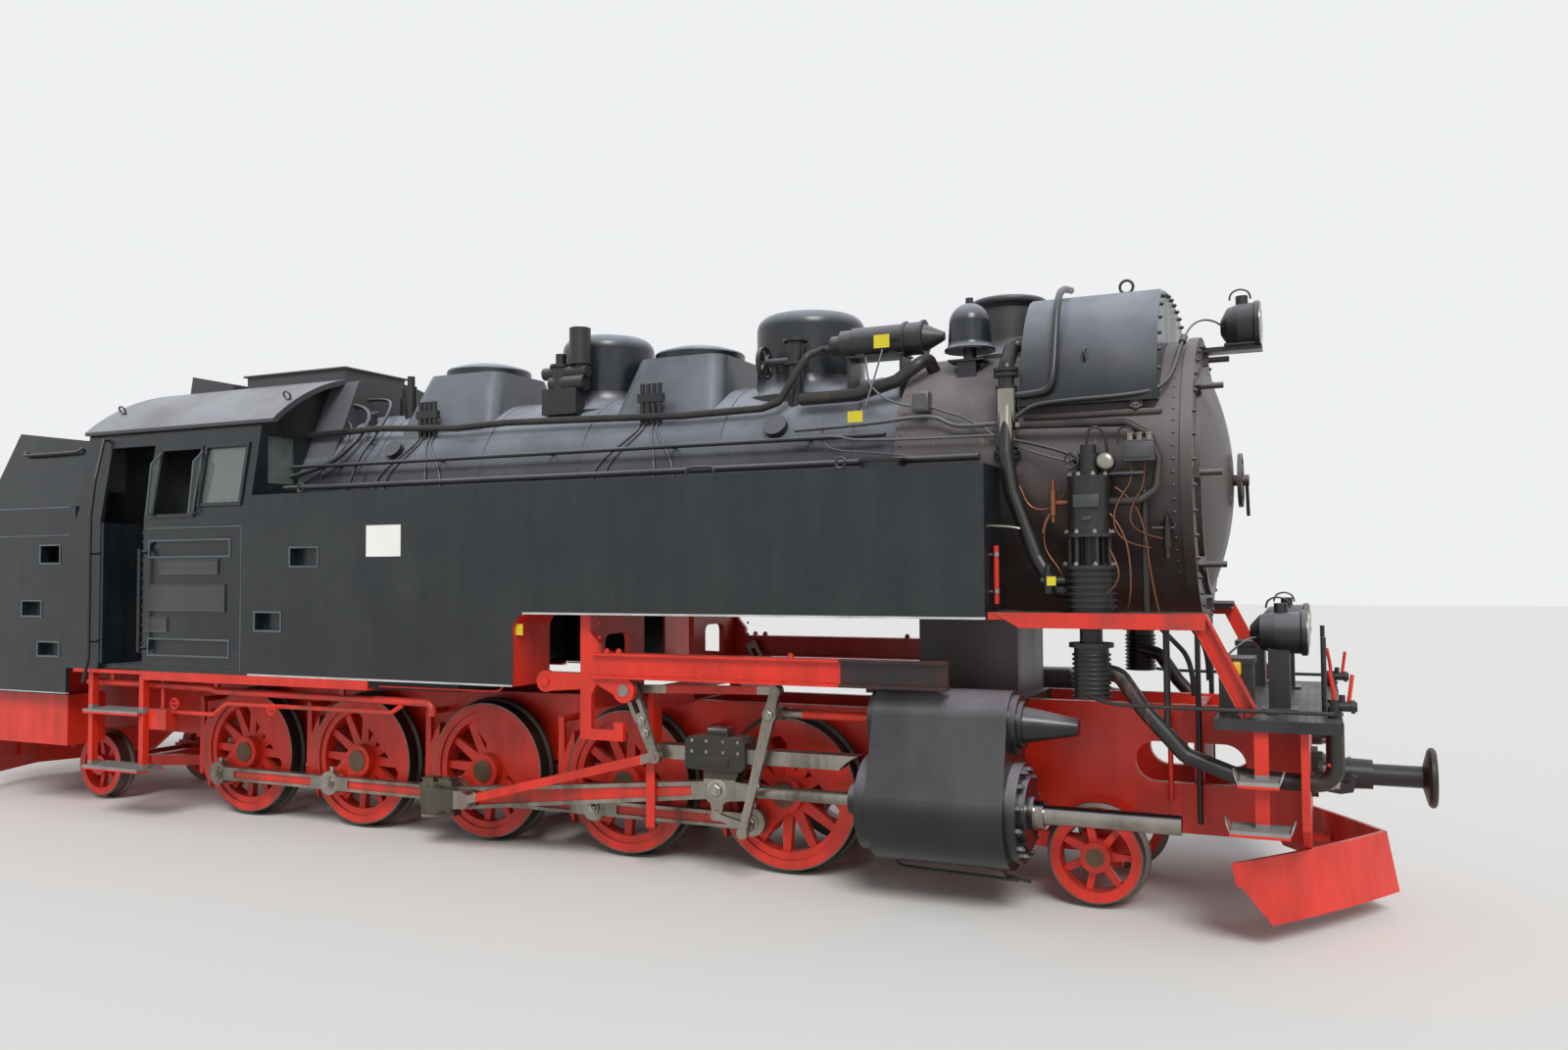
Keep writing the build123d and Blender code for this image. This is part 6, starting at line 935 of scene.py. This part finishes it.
# Air and feed pumps: small copper oil and steam pipes, bent by hand, and bright nuts round the
# cylinder flanges.
# Copper, tarnished by heat: brown, with dark runs and a dull metal shine.
copper = coat("copper_pipe_tarnished", "8a5a42", "3c2a22", "8f7f78", 0.35, 0.7, 0.8, 0.05)
PUMP_X, PUMP_Y = 4.5, 0.99
pump_nuts = []
for hand in SIDES:
    for z, r in ((1.712, 0.136), (2.015, 0.137), (2.194, 0.127), (2.514, 0.104)):
        for step in range(8):
            a = math.radians(22.5 + 45 * step)
            pump_nuts.append(((PUMP_X + r * math.cos(a), hand * PUMP_Y + r * math.sin(a), z), (0, 0, 1)))
fasten(small_nut, pump_nuts, "pump_flange_nuts", bright_steel)
pipe_run("pump_copper_pipes", [(14, [(4.05, -0.92, 2.55), (4.108, -0.95, 2.466), (4.136, -0.95, 2.379),
        (4.193, -0.95, 2.334), (4.3, -0.96, 2.34), (4.36, -0.98, 2.42)]),
        (12, [(4.264, -0.95, 2.275), (4.235, -0.95, 2.218), (4.24, -0.95, 2.1), (4.34, -0.97, 1.98),
        (4.38, -1.03, 1.9)]),
        (12, [(4.62, -1.03, 2.3), (4.7, -1.05, 2.2), (4.73, -1.05, 2.0), (4.72, -1.03, 1.8), (4.69, -1.0, 1.745)]),
        (10, [(4.64, -0.98, 2.45), (4.74, -0.98, 2.38), (4.8, -0.97, 2.2), (4.82, -0.95, 1.95),
        (4.86, -0.93, 1.745)]),
        (10, [(4.62, -1.06, 2.1), (4.68, -1.1, 2.0), (4.66, -1.1, 1.9), (4.6, -1.08, 1.86)])], copper)


# Handwheels and small valves: cast rims on thin spokes, bonnets and glands, on the turret ahead of
# the cab, the sand and steam valves, the pump and the air pipes under the cab.
def handwheel(radius, wire):
    """A rim with four spokes and a hub, flat on its face, with its stem down to the origin."""
    only()
    bpy.ops.mesh.primitive_torus_add(major_radius=radius, minor_radius=wire, major_segments=20, minor_segments=6,
        location=(0, 0, radius * 0.9))
    parts = [bpy.context.object]
    for turn in (0, 90):
        bpy.ops.mesh.primitive_cylinder_add(vertices=6, radius=wire * 0.8, depth=2 * radius,
            location=(0, 0, radius * 0.9), rotation=(math.pi / 2, 0, math.radians(turn)))
        parts.append(bpy.context.object)
    stem = drum(10, wire * 1.5, radius * 0.95)
    edit(stem, lambda part: part.normal.z > 0.9)
    bpy.ops.mesh.inset(thickness=wire * 0.4, depth=wire * 1.2)
    done()
    edit(stem, lambda part: part.normal.z < -0.9)
    rise(0.001, 2.2)
    parts.append(done())
    only(*parts)
    bpy.ops.object.join()
    bpy.ops.object.transform_apply(location=True, rotation=True, scale=True)
    bpy.ops.object.shade_smooth_by_angle(angle=math.radians(50))
    return bpy.context.object


wheel = handwheel(0.045, 0.006)
fasten(wheel, [((-1.28, -0.42, 3.25), (0, -0.4, 0.9)), ((-1.1, -0.62, 3.01), (0, -0.79, 0.613)),
        ((-1.28, 0.42, 3.25), (0, 0.4, 0.9)), ((-1.1, 0.62, 3.01), (0, 0.79, 0.613)),
        ((4.435, -1.02, 2.6), (-0.5, -1, 0)), ((4.435, 1.02, 2.6), (-0.5, 1, 0))], "valve_handwheels", lamp_paint)
red_wheel = handwheel(0.04, 0.006)
fasten(red_wheel, [((-2.6, -1.135, 0.975), (0, -1, 0)), ((-1.55, -1.135, 0.975), (0, -1, 0)),
        ((-2.6, 1.135, 0.975), (0, 1, 0))], "air_valve_handwheels", red_paint)


# Fittings on the pump: a lubricator box on its bracket with copper feeds, a round steam valve and
# its pipes over the head, check valves at the pipes, and blank plates on the steam cylinder.
fittings = [block((4.7, -1.045, 2.585), (4.86, -0.925, 2.69), 0.008),
    block((4.715, -1.056, 2.605), (4.845, -1.043, 2.672)), block((4.56, -1.02, 2.515), (4.8, -0.85, 2.53)),
    block((4.7, -1.03, 2.69), (4.86, -0.94, 2.704))]
join(fittings, "pump_lubricator_box", plate_metal)
fasten(cup, [((x, -1.0, 2.702), (0, 0, 1)) for x in (4.73, 4.78, 4.83)], "lubricator_caps", bright_steel)
round_valve = disc(0, 0, 0, 0.052, 0.024, 1)
round_valve.matrix_world = Matrix.Translation((4.6, -1.045, 2.59)) @ Matrix.Rotation(math.pi / 2, 4, "X")
join([round_valve], "pump_steam_valve_cap", bright_steel)
pipe_run("pump_valves", [(88, [(4.6, -0.93, 2.59), (4.6, -1.043, 2.59)]),
        (40, [(4.5, -0.99, 2.51), (4.5, -0.99, 2.66)]), (54, [(4.5, -0.99, 2.565), (4.5, -0.99, 2.6)]),
        (34, [(4.43, -1.01, 2.6), (4.6, -0.99, 2.6)]),
        (16, [(4.49, -0.99, 2.66), (4.49, -0.99, 2.74), (4.51, -0.99, 2.79), (4.56, -0.98, 2.79), (4.6, -0.97, 2.73),
        (4.6, -0.96, 2.6)]),
        (12, [(4.66, -0.96, 2.69), (4.65, -0.96, 2.76), (4.69, -0.96, 2.79), (4.74, -0.97, 2.77),
        (4.76, -0.98, 2.7)]),
        (60, [(4.28, -1.055, 1.86), (4.28, -1.055, 1.97)]), (40, [(4.28, -1.055, 1.97), (4.28, -1.055, 2.02)]),
        (44, [(4.24, -1.06, 1.93), (4.4, -1.03, 1.93)]), (44, [(4.9, -0.855, 2.11), (4.9, -0.855, 2.24)]),
        (28, [(4.9, -0.855, 2.05), (4.9, -0.855, 2.29)]), (20, [(4.82, -0.88, 2.22), (4.94, -0.84, 2.22)])],
    cast_black)
pipe_run("pump_check_valve", [(46, [(4.3, -0.99, 2.3), (4.3, -0.99, 2.44)]),
        (28, [(4.3, -0.99, 2.26), (4.3, -0.99, 2.5)]), (30, [(4.3, -0.99, 2.37), (4.39, -0.99, 2.37)]),
        (24, [(4.3, -0.99, 2.33), (4.25, -0.98, 2.28), (4.24, -0.98, 2.2)])], copper)
pipe_run("lubricator_feed_pipes", [(10, [(4.73, -0.99, 2.59), (4.74, -1.0, 2.48), (4.68, -1.03, 2.4),
        (4.64, -1.05, 2.3), (4.65, -1.06, 2.2), (4.72, -1.05, 2.13), (4.82, -0.95, 2.11)]),
        (10, [(4.8, -0.99, 2.59), (4.81, -1.0, 2.46), (4.74, -1.03, 2.36), (4.72, -1.04, 2.24), (4.8, -0.98, 2.18),
        (4.88, -0.88, 2.16)])], copper)
plates = [block((4.505 - half, -1.124, low), (4.505 + half, -1.1, high), 0.002)
    for half, low, high in ((0.07, 2.335, 2.405), (0.023, 2.262, 2.285))]
join(plates, "pump_plates", plate_metal)


# Between tank and heater: a red gauge tube in bright clamps, the strips that the heater stands on,
# lifting rings on its sides, and the cast fins of the lower pump.
pipe_run("tank_front_gauge_tube", [(34, [(3.995, -1.1, 1.8), (3.995, -1.1, 2.13)])], red_paint)
clamps = [(46, [(3.995, -1.1, z), (3.995, -1.1, z + 0.022)]) for z in (1.86, 2.07)]
clamps += [(14, [(3.955, -1.1, z), (3.995, -1.1, z)]) for z in (1.87, 2.08)]
clamps.append((14, [(3.955, -1.1, 2.245), (4.09, -1.1, 2.24), (4.13, -1.09, 2.225)]))
pipe_run("gauge_tube_clamps", clamps, bright_steel)
join([block((4.1, hand * 0.785, 2.872), (4.88, hand * 0.815, 2.902)) for hand in SIDES], "heater_foot_strips",
    smokebox_paint)
fasten(big_nut, [((4.74, hand * 0.79, 2.925), (0, hand * 0.9, 0.4)) for hand in SIDES], "heater_foot_bosses",
    smokebox_paint)
join([hoop(4.46, hand * 0.822, 3.235, 0.036, 0.008, 20) for hand in SIDES], "heater_side_rings", lamp_paint)
FIN_FOOT, FIN_PITCH = 1.285, 0.026
fins = []
for step in range(10):
    for hand in SIDES:
        fin = hoop(0, 0, 0, 0.1, 0.007, 28)
        fin.matrix_world = Matrix.Translation((PUMP_X, hand * PUMP_Y, FIN_FOOT + FIN_PITCH * step))
        fins.append(fin)
join(fins, "lower_pump_fins", cast_black)


# Motion bracket bolts: rows of heads along the beam's web and on the hanger, with larger nuts on top
# where the beam is bolted to its bracket.
BRACKET_FACE = 1.11
bracket_heads = []
for hand in SIDES:
    for spot in row((1.46, hand * BRACKET_FACE, 1.325), (2.96, hand * BRACKET_FACE, 1.325), 0.3):
        bracket_heads.append((spot, (0, hand, 0)))
    for spot in row((1.335, hand * BRACKET_FACE, 1.47), (1.335, hand * BRACKET_FACE, 1.66), 0.095):
        bracket_heads.append((spot, (0, hand, 0)))
fasten(rivet, bracket_heads, "bracket_rivets", bracket_paint)
fasten(cover_nut, [((x, hand * 1.12, 1.461), (0, 0, 1)) for x in (1.4, 1.49, 2.72) for hand in SIDES], "beam_bolts",
    bracket_paint)


# Small fittings of the frame and cylinders: drain cocks under the cylinders with their pipes led
# forward, and the red grease pipe from the tank's step to the axleboxes.
drains = []
for x, front in ((3.3, 4.05), (3.96, 4.12)):
    drains += [(22, [(x, CYLINDER_Y, 0.268), (x, CYLINDER_Y, 0.232), (x + 0.04, CYLINDER_Y, 0.215),
            (x + 0.1, 0.885, 0.212), (front, 0.9, 0.205)]), (34, [(x, CYLINDER_Y, 0.27), (x, CYLINDER_Y, 0.245)])]
pipe_run("cylinder_drain_pipes", both(drains), cast_black)
pipe_run("tank_step_grease_pipes", both([(13, [(0.745, 1.185, 1.66), (0.68, 1.185, 1.66), (0.62, 1.185, 1.62),
        (0.615, 1.183, 1.4), (0.61, 1.18, 1.23), (0.58, 1.175, 1.19), (0.45, 1.17, 1.185), (-0.5, 1.165, 1.185)])]),
    red_paint)


# Seams and beads: half-round strip along the bunker's top edge and the cab's joints, and thin steel
# bands that hold the boiler cladding.
pipe_run("sheet_seams", both([(diameter, [(x0, SIDE_FACE, z0), (x1, SIDE_FACE, z1)])
        for diameter, x0, x1, z0, z1 in ((12, -5.88, -3.8, 2.56, 2.56), (8, -5.88, -3.8, 2.327, 2.327),
        (9, -1.82, -1.82, 1.25, 2.36), (9, -2.88, -1.83, 2.362, 2.362))]), edge_worn)
BAND_R = 0.786
join([hoop(x, 0, BOILER_Z, BAND_R, 0.005, 64) for x in (-1.5, -0.98, 0.05, 0.92, 2.02, 2.98)], "cladding_bands",
    black_with_sky_sheen_and_dust)


# Roof and bunker fittings: lifting eyes on the roof, and a grab bar on each side of the coal hopper.
fasten(ring, [((x, hand * 0.93, 3.358), (0, hand * 0.53, 0.85)) for x in (-3.56, -1.66) for hand in SIDES],
    "roof_eyes", roof_paint)
pipe_run("hopper_grab_bars", both([(24, [(-4.64, 1.062, 3.075), (-4.64, 1.085, 3.045), (-4.6, 1.09, 3.04),
        (-3.95, 1.09, 3.04), (-3.91, 1.085, 3.045), (-3.91, 1.062, 3.075)])]), lamp_paint)


# Turret pipes: steam pipes bent down from the housing over the boiler to the injectors, and the
# steel conduits that carry the front lamps' wires.
pipe_run("turret_pipes", both([(36, [(-1.46, 0.45, 3.36), (-1.3, 0.47, 3.33), (-1.18, 0.56, 3.2), (-1.2, 0.72, 3.0),
        (-1.38, 0.82, 2.82), (-1.73, 0.84, 2.76)]),
        (26, [(-1.46, 0.3, 3.42), (-1.22, 0.32, 3.42), (-1.05, 0.46, 3.32), (-1.02, 0.66, 3.08), (-1.1, 0.8, 2.86),
        (-1.12, 0.86, 2.62)]),
        (16, [(-1.46, 0.52, 3.22), (-1.34, 0.58, 3.18), (-1.28, 0.7, 3.02), (-1.36, 0.8, 2.84), (-1.6, 0.83, 2.7),
        (-1.73, 0.83, 2.68)]), (60, [(-1.28, 0.42, 3.17), (-1.28, 0.42, 3.27)])]), lamp_paint)
pipe_run("lamp_conduits", [(12, [(4.968, -0.4, 3.36), (4.99, -0.33, 3.44), (5.06, -0.22, 3.5), (5.14, -0.12, 3.49),
        (5.17, -0.06, 3.46)]),
        (12, [(5.2, -0.8, 1.52), (5.28, -0.78, 1.6), (5.35, -0.72, 1.62), (5.4, -0.68, 1.6)])], conduit_grey)


# Front platform: chequer strips across the walking surface, and the cocks of the air pipes at the
# beam with their red lever handles.
PLATFORM_Z, RIB_START, RIB_PITCH = 1.216, 5.185, 0.045
ribs = [(5, [(RIB_START + RIB_PITCH * step, -1.15, PLATFORM_Z), (RIB_START + RIB_PITCH * step, 1.15, PLATFORM_Z)])
    for step in range(13)]
pipe_run("platform_ribs", ribs, cast_black, 1)
cocks, levers = [], []
for y, z in ((0.9, 0.868), (0.56, 0.9)):
    cocks += [(48, [(5.66, y, z), (5.74, y, z)]), (60, [(5.685, y, z), (5.712, y, z)])]
    levers.append((15, [(5.7, y, z + 0.03), (5.7, y, z + 0.07), (5.695, y + 0.03, z + 0.1),
            (5.69, y + 0.11, z + 0.115)]))
pipe_run("air_cocks", both(cocks), bright_steel)
pipe_run("air_cock_levers", both(levers), red_paint)


# Pipes beside the frame's front: a drain pipe and a red vent pipe down the frame plate, each held by
# a clip, and the long black heating pipe from the cylinders to the platform's edge.
pipe_run("frame_drain_pipes", both([(32, [(5.013, 0.46, 1.74), (5.013, 0.46, 0.52)]),
        (44, [(5.013, 0.46, 0.9), (5.013, 0.46, 0.93)]),
        (30, [(4.78, 0.72, 1.72), (4.88, 0.62, 1.6), (4.993, 0.52, 1.46), (4.993, 0.5, 1.26)])]), cast_black)
pipe_run("frame_vent_pipes", both([(30, [(4.849, 0.42, 1.136), (4.849, 0.42, 0.631)]),
        (44, [(4.849, 0.42, 1.0), (4.849, 0.42, 1.03)])]), red_paint)
pipe_run("platform_side_rails", both([(22, [(4.42, 1.02, 1.33), (4.55, 1.15, 1.275), (4.75, 1.178, 1.262),
        (5.2, 1.18, 1.262), (5.72, 1.18, 1.262)]),
        (34, [(5.4, 1.18, 1.262), (5.45, 1.18, 1.262)]), (12, [(5.3, 1.165, 1.205), (5.3, 1.18, 1.262)])]),
    cast_black)


# Valve group over the platform's front edge: cock bodies on the air pipe with red lever handles,
# guards of bent wire at the ends of the front steps, and the yellow caps of two reservoirs.
AIR_PIPE = (5.722, 0.92)
pipe_run("platform_air_valves", both([(diameter, [(x0, y0, z0), (x1, y1, z1)])
        for diameter, x0, y0, z0, x1, y1, z1 in ((64, *AIR_PIPE, 1.17, *AIR_PIPE, 1.31),
        (84, *AIR_PIPE, 1.225, *AIR_PIPE, 1.245), (52, 5.69, 0.92, 1.275, 5.83, 0.92, 1.275),
        (70, 5.8, 0.92, 1.275, 5.82, 0.92, 1.275), (40, *AIR_PIPE, 1.275, 5.722, 0.78, 1.275),
        (30, 5.76, 0.92, 1.275, 5.76, 0.92, 1.335))]), cast_black)
pipe_run("platform_valve_handles", both([(22, [(*AIR_PIPE, 1.31), (*AIR_PIPE, 1.36), (5.7, 0.93, 1.46)]),
        (20, [(5.79, 0.92, 1.3), (5.8, 0.92, 1.36), (5.81, 0.91, 1.44)])]), red_paint)
guards = []
for x, length, top, outer, depth in TREADS[2:]:
    for end in (-1, 1):
        edge, tip = x + end * length / 2, x + end * (length / 2 + 0.022)
        near, far = outer - 0.01, outer - depth * 0.6
        guards.append((9, [(edge, near, top - 0.01), (tip, near, top + 0.05), (tip, far, top + 0.05),
                (edge, far, top - 0.01)]))
pipe_run("front_step_guards", both(guards), zinc)
# Signal yellow enamel on pressed steel: plain and half glossy.
cap_yellow = coat("reservoir_cap_enamel_yellow", "e8b91c", "8a6c14", "c9b06a", 0.3, 0.3)
join([block((5.215, hand * 0.925, 1.425), (5.275, hand * 0.99, 1.495), 0.008) for hand in SIDES], "reservoir_caps",
    cap_yellow)


# The seeds of the copied parts go.
for seed in (rivet, cover_nut, small_nut, ring, heater_ring, cup, grease_box, big_nut, pin_nut, wheel, red_wheel):
    bpy.data.objects.remove(seed, do_unlink=True)
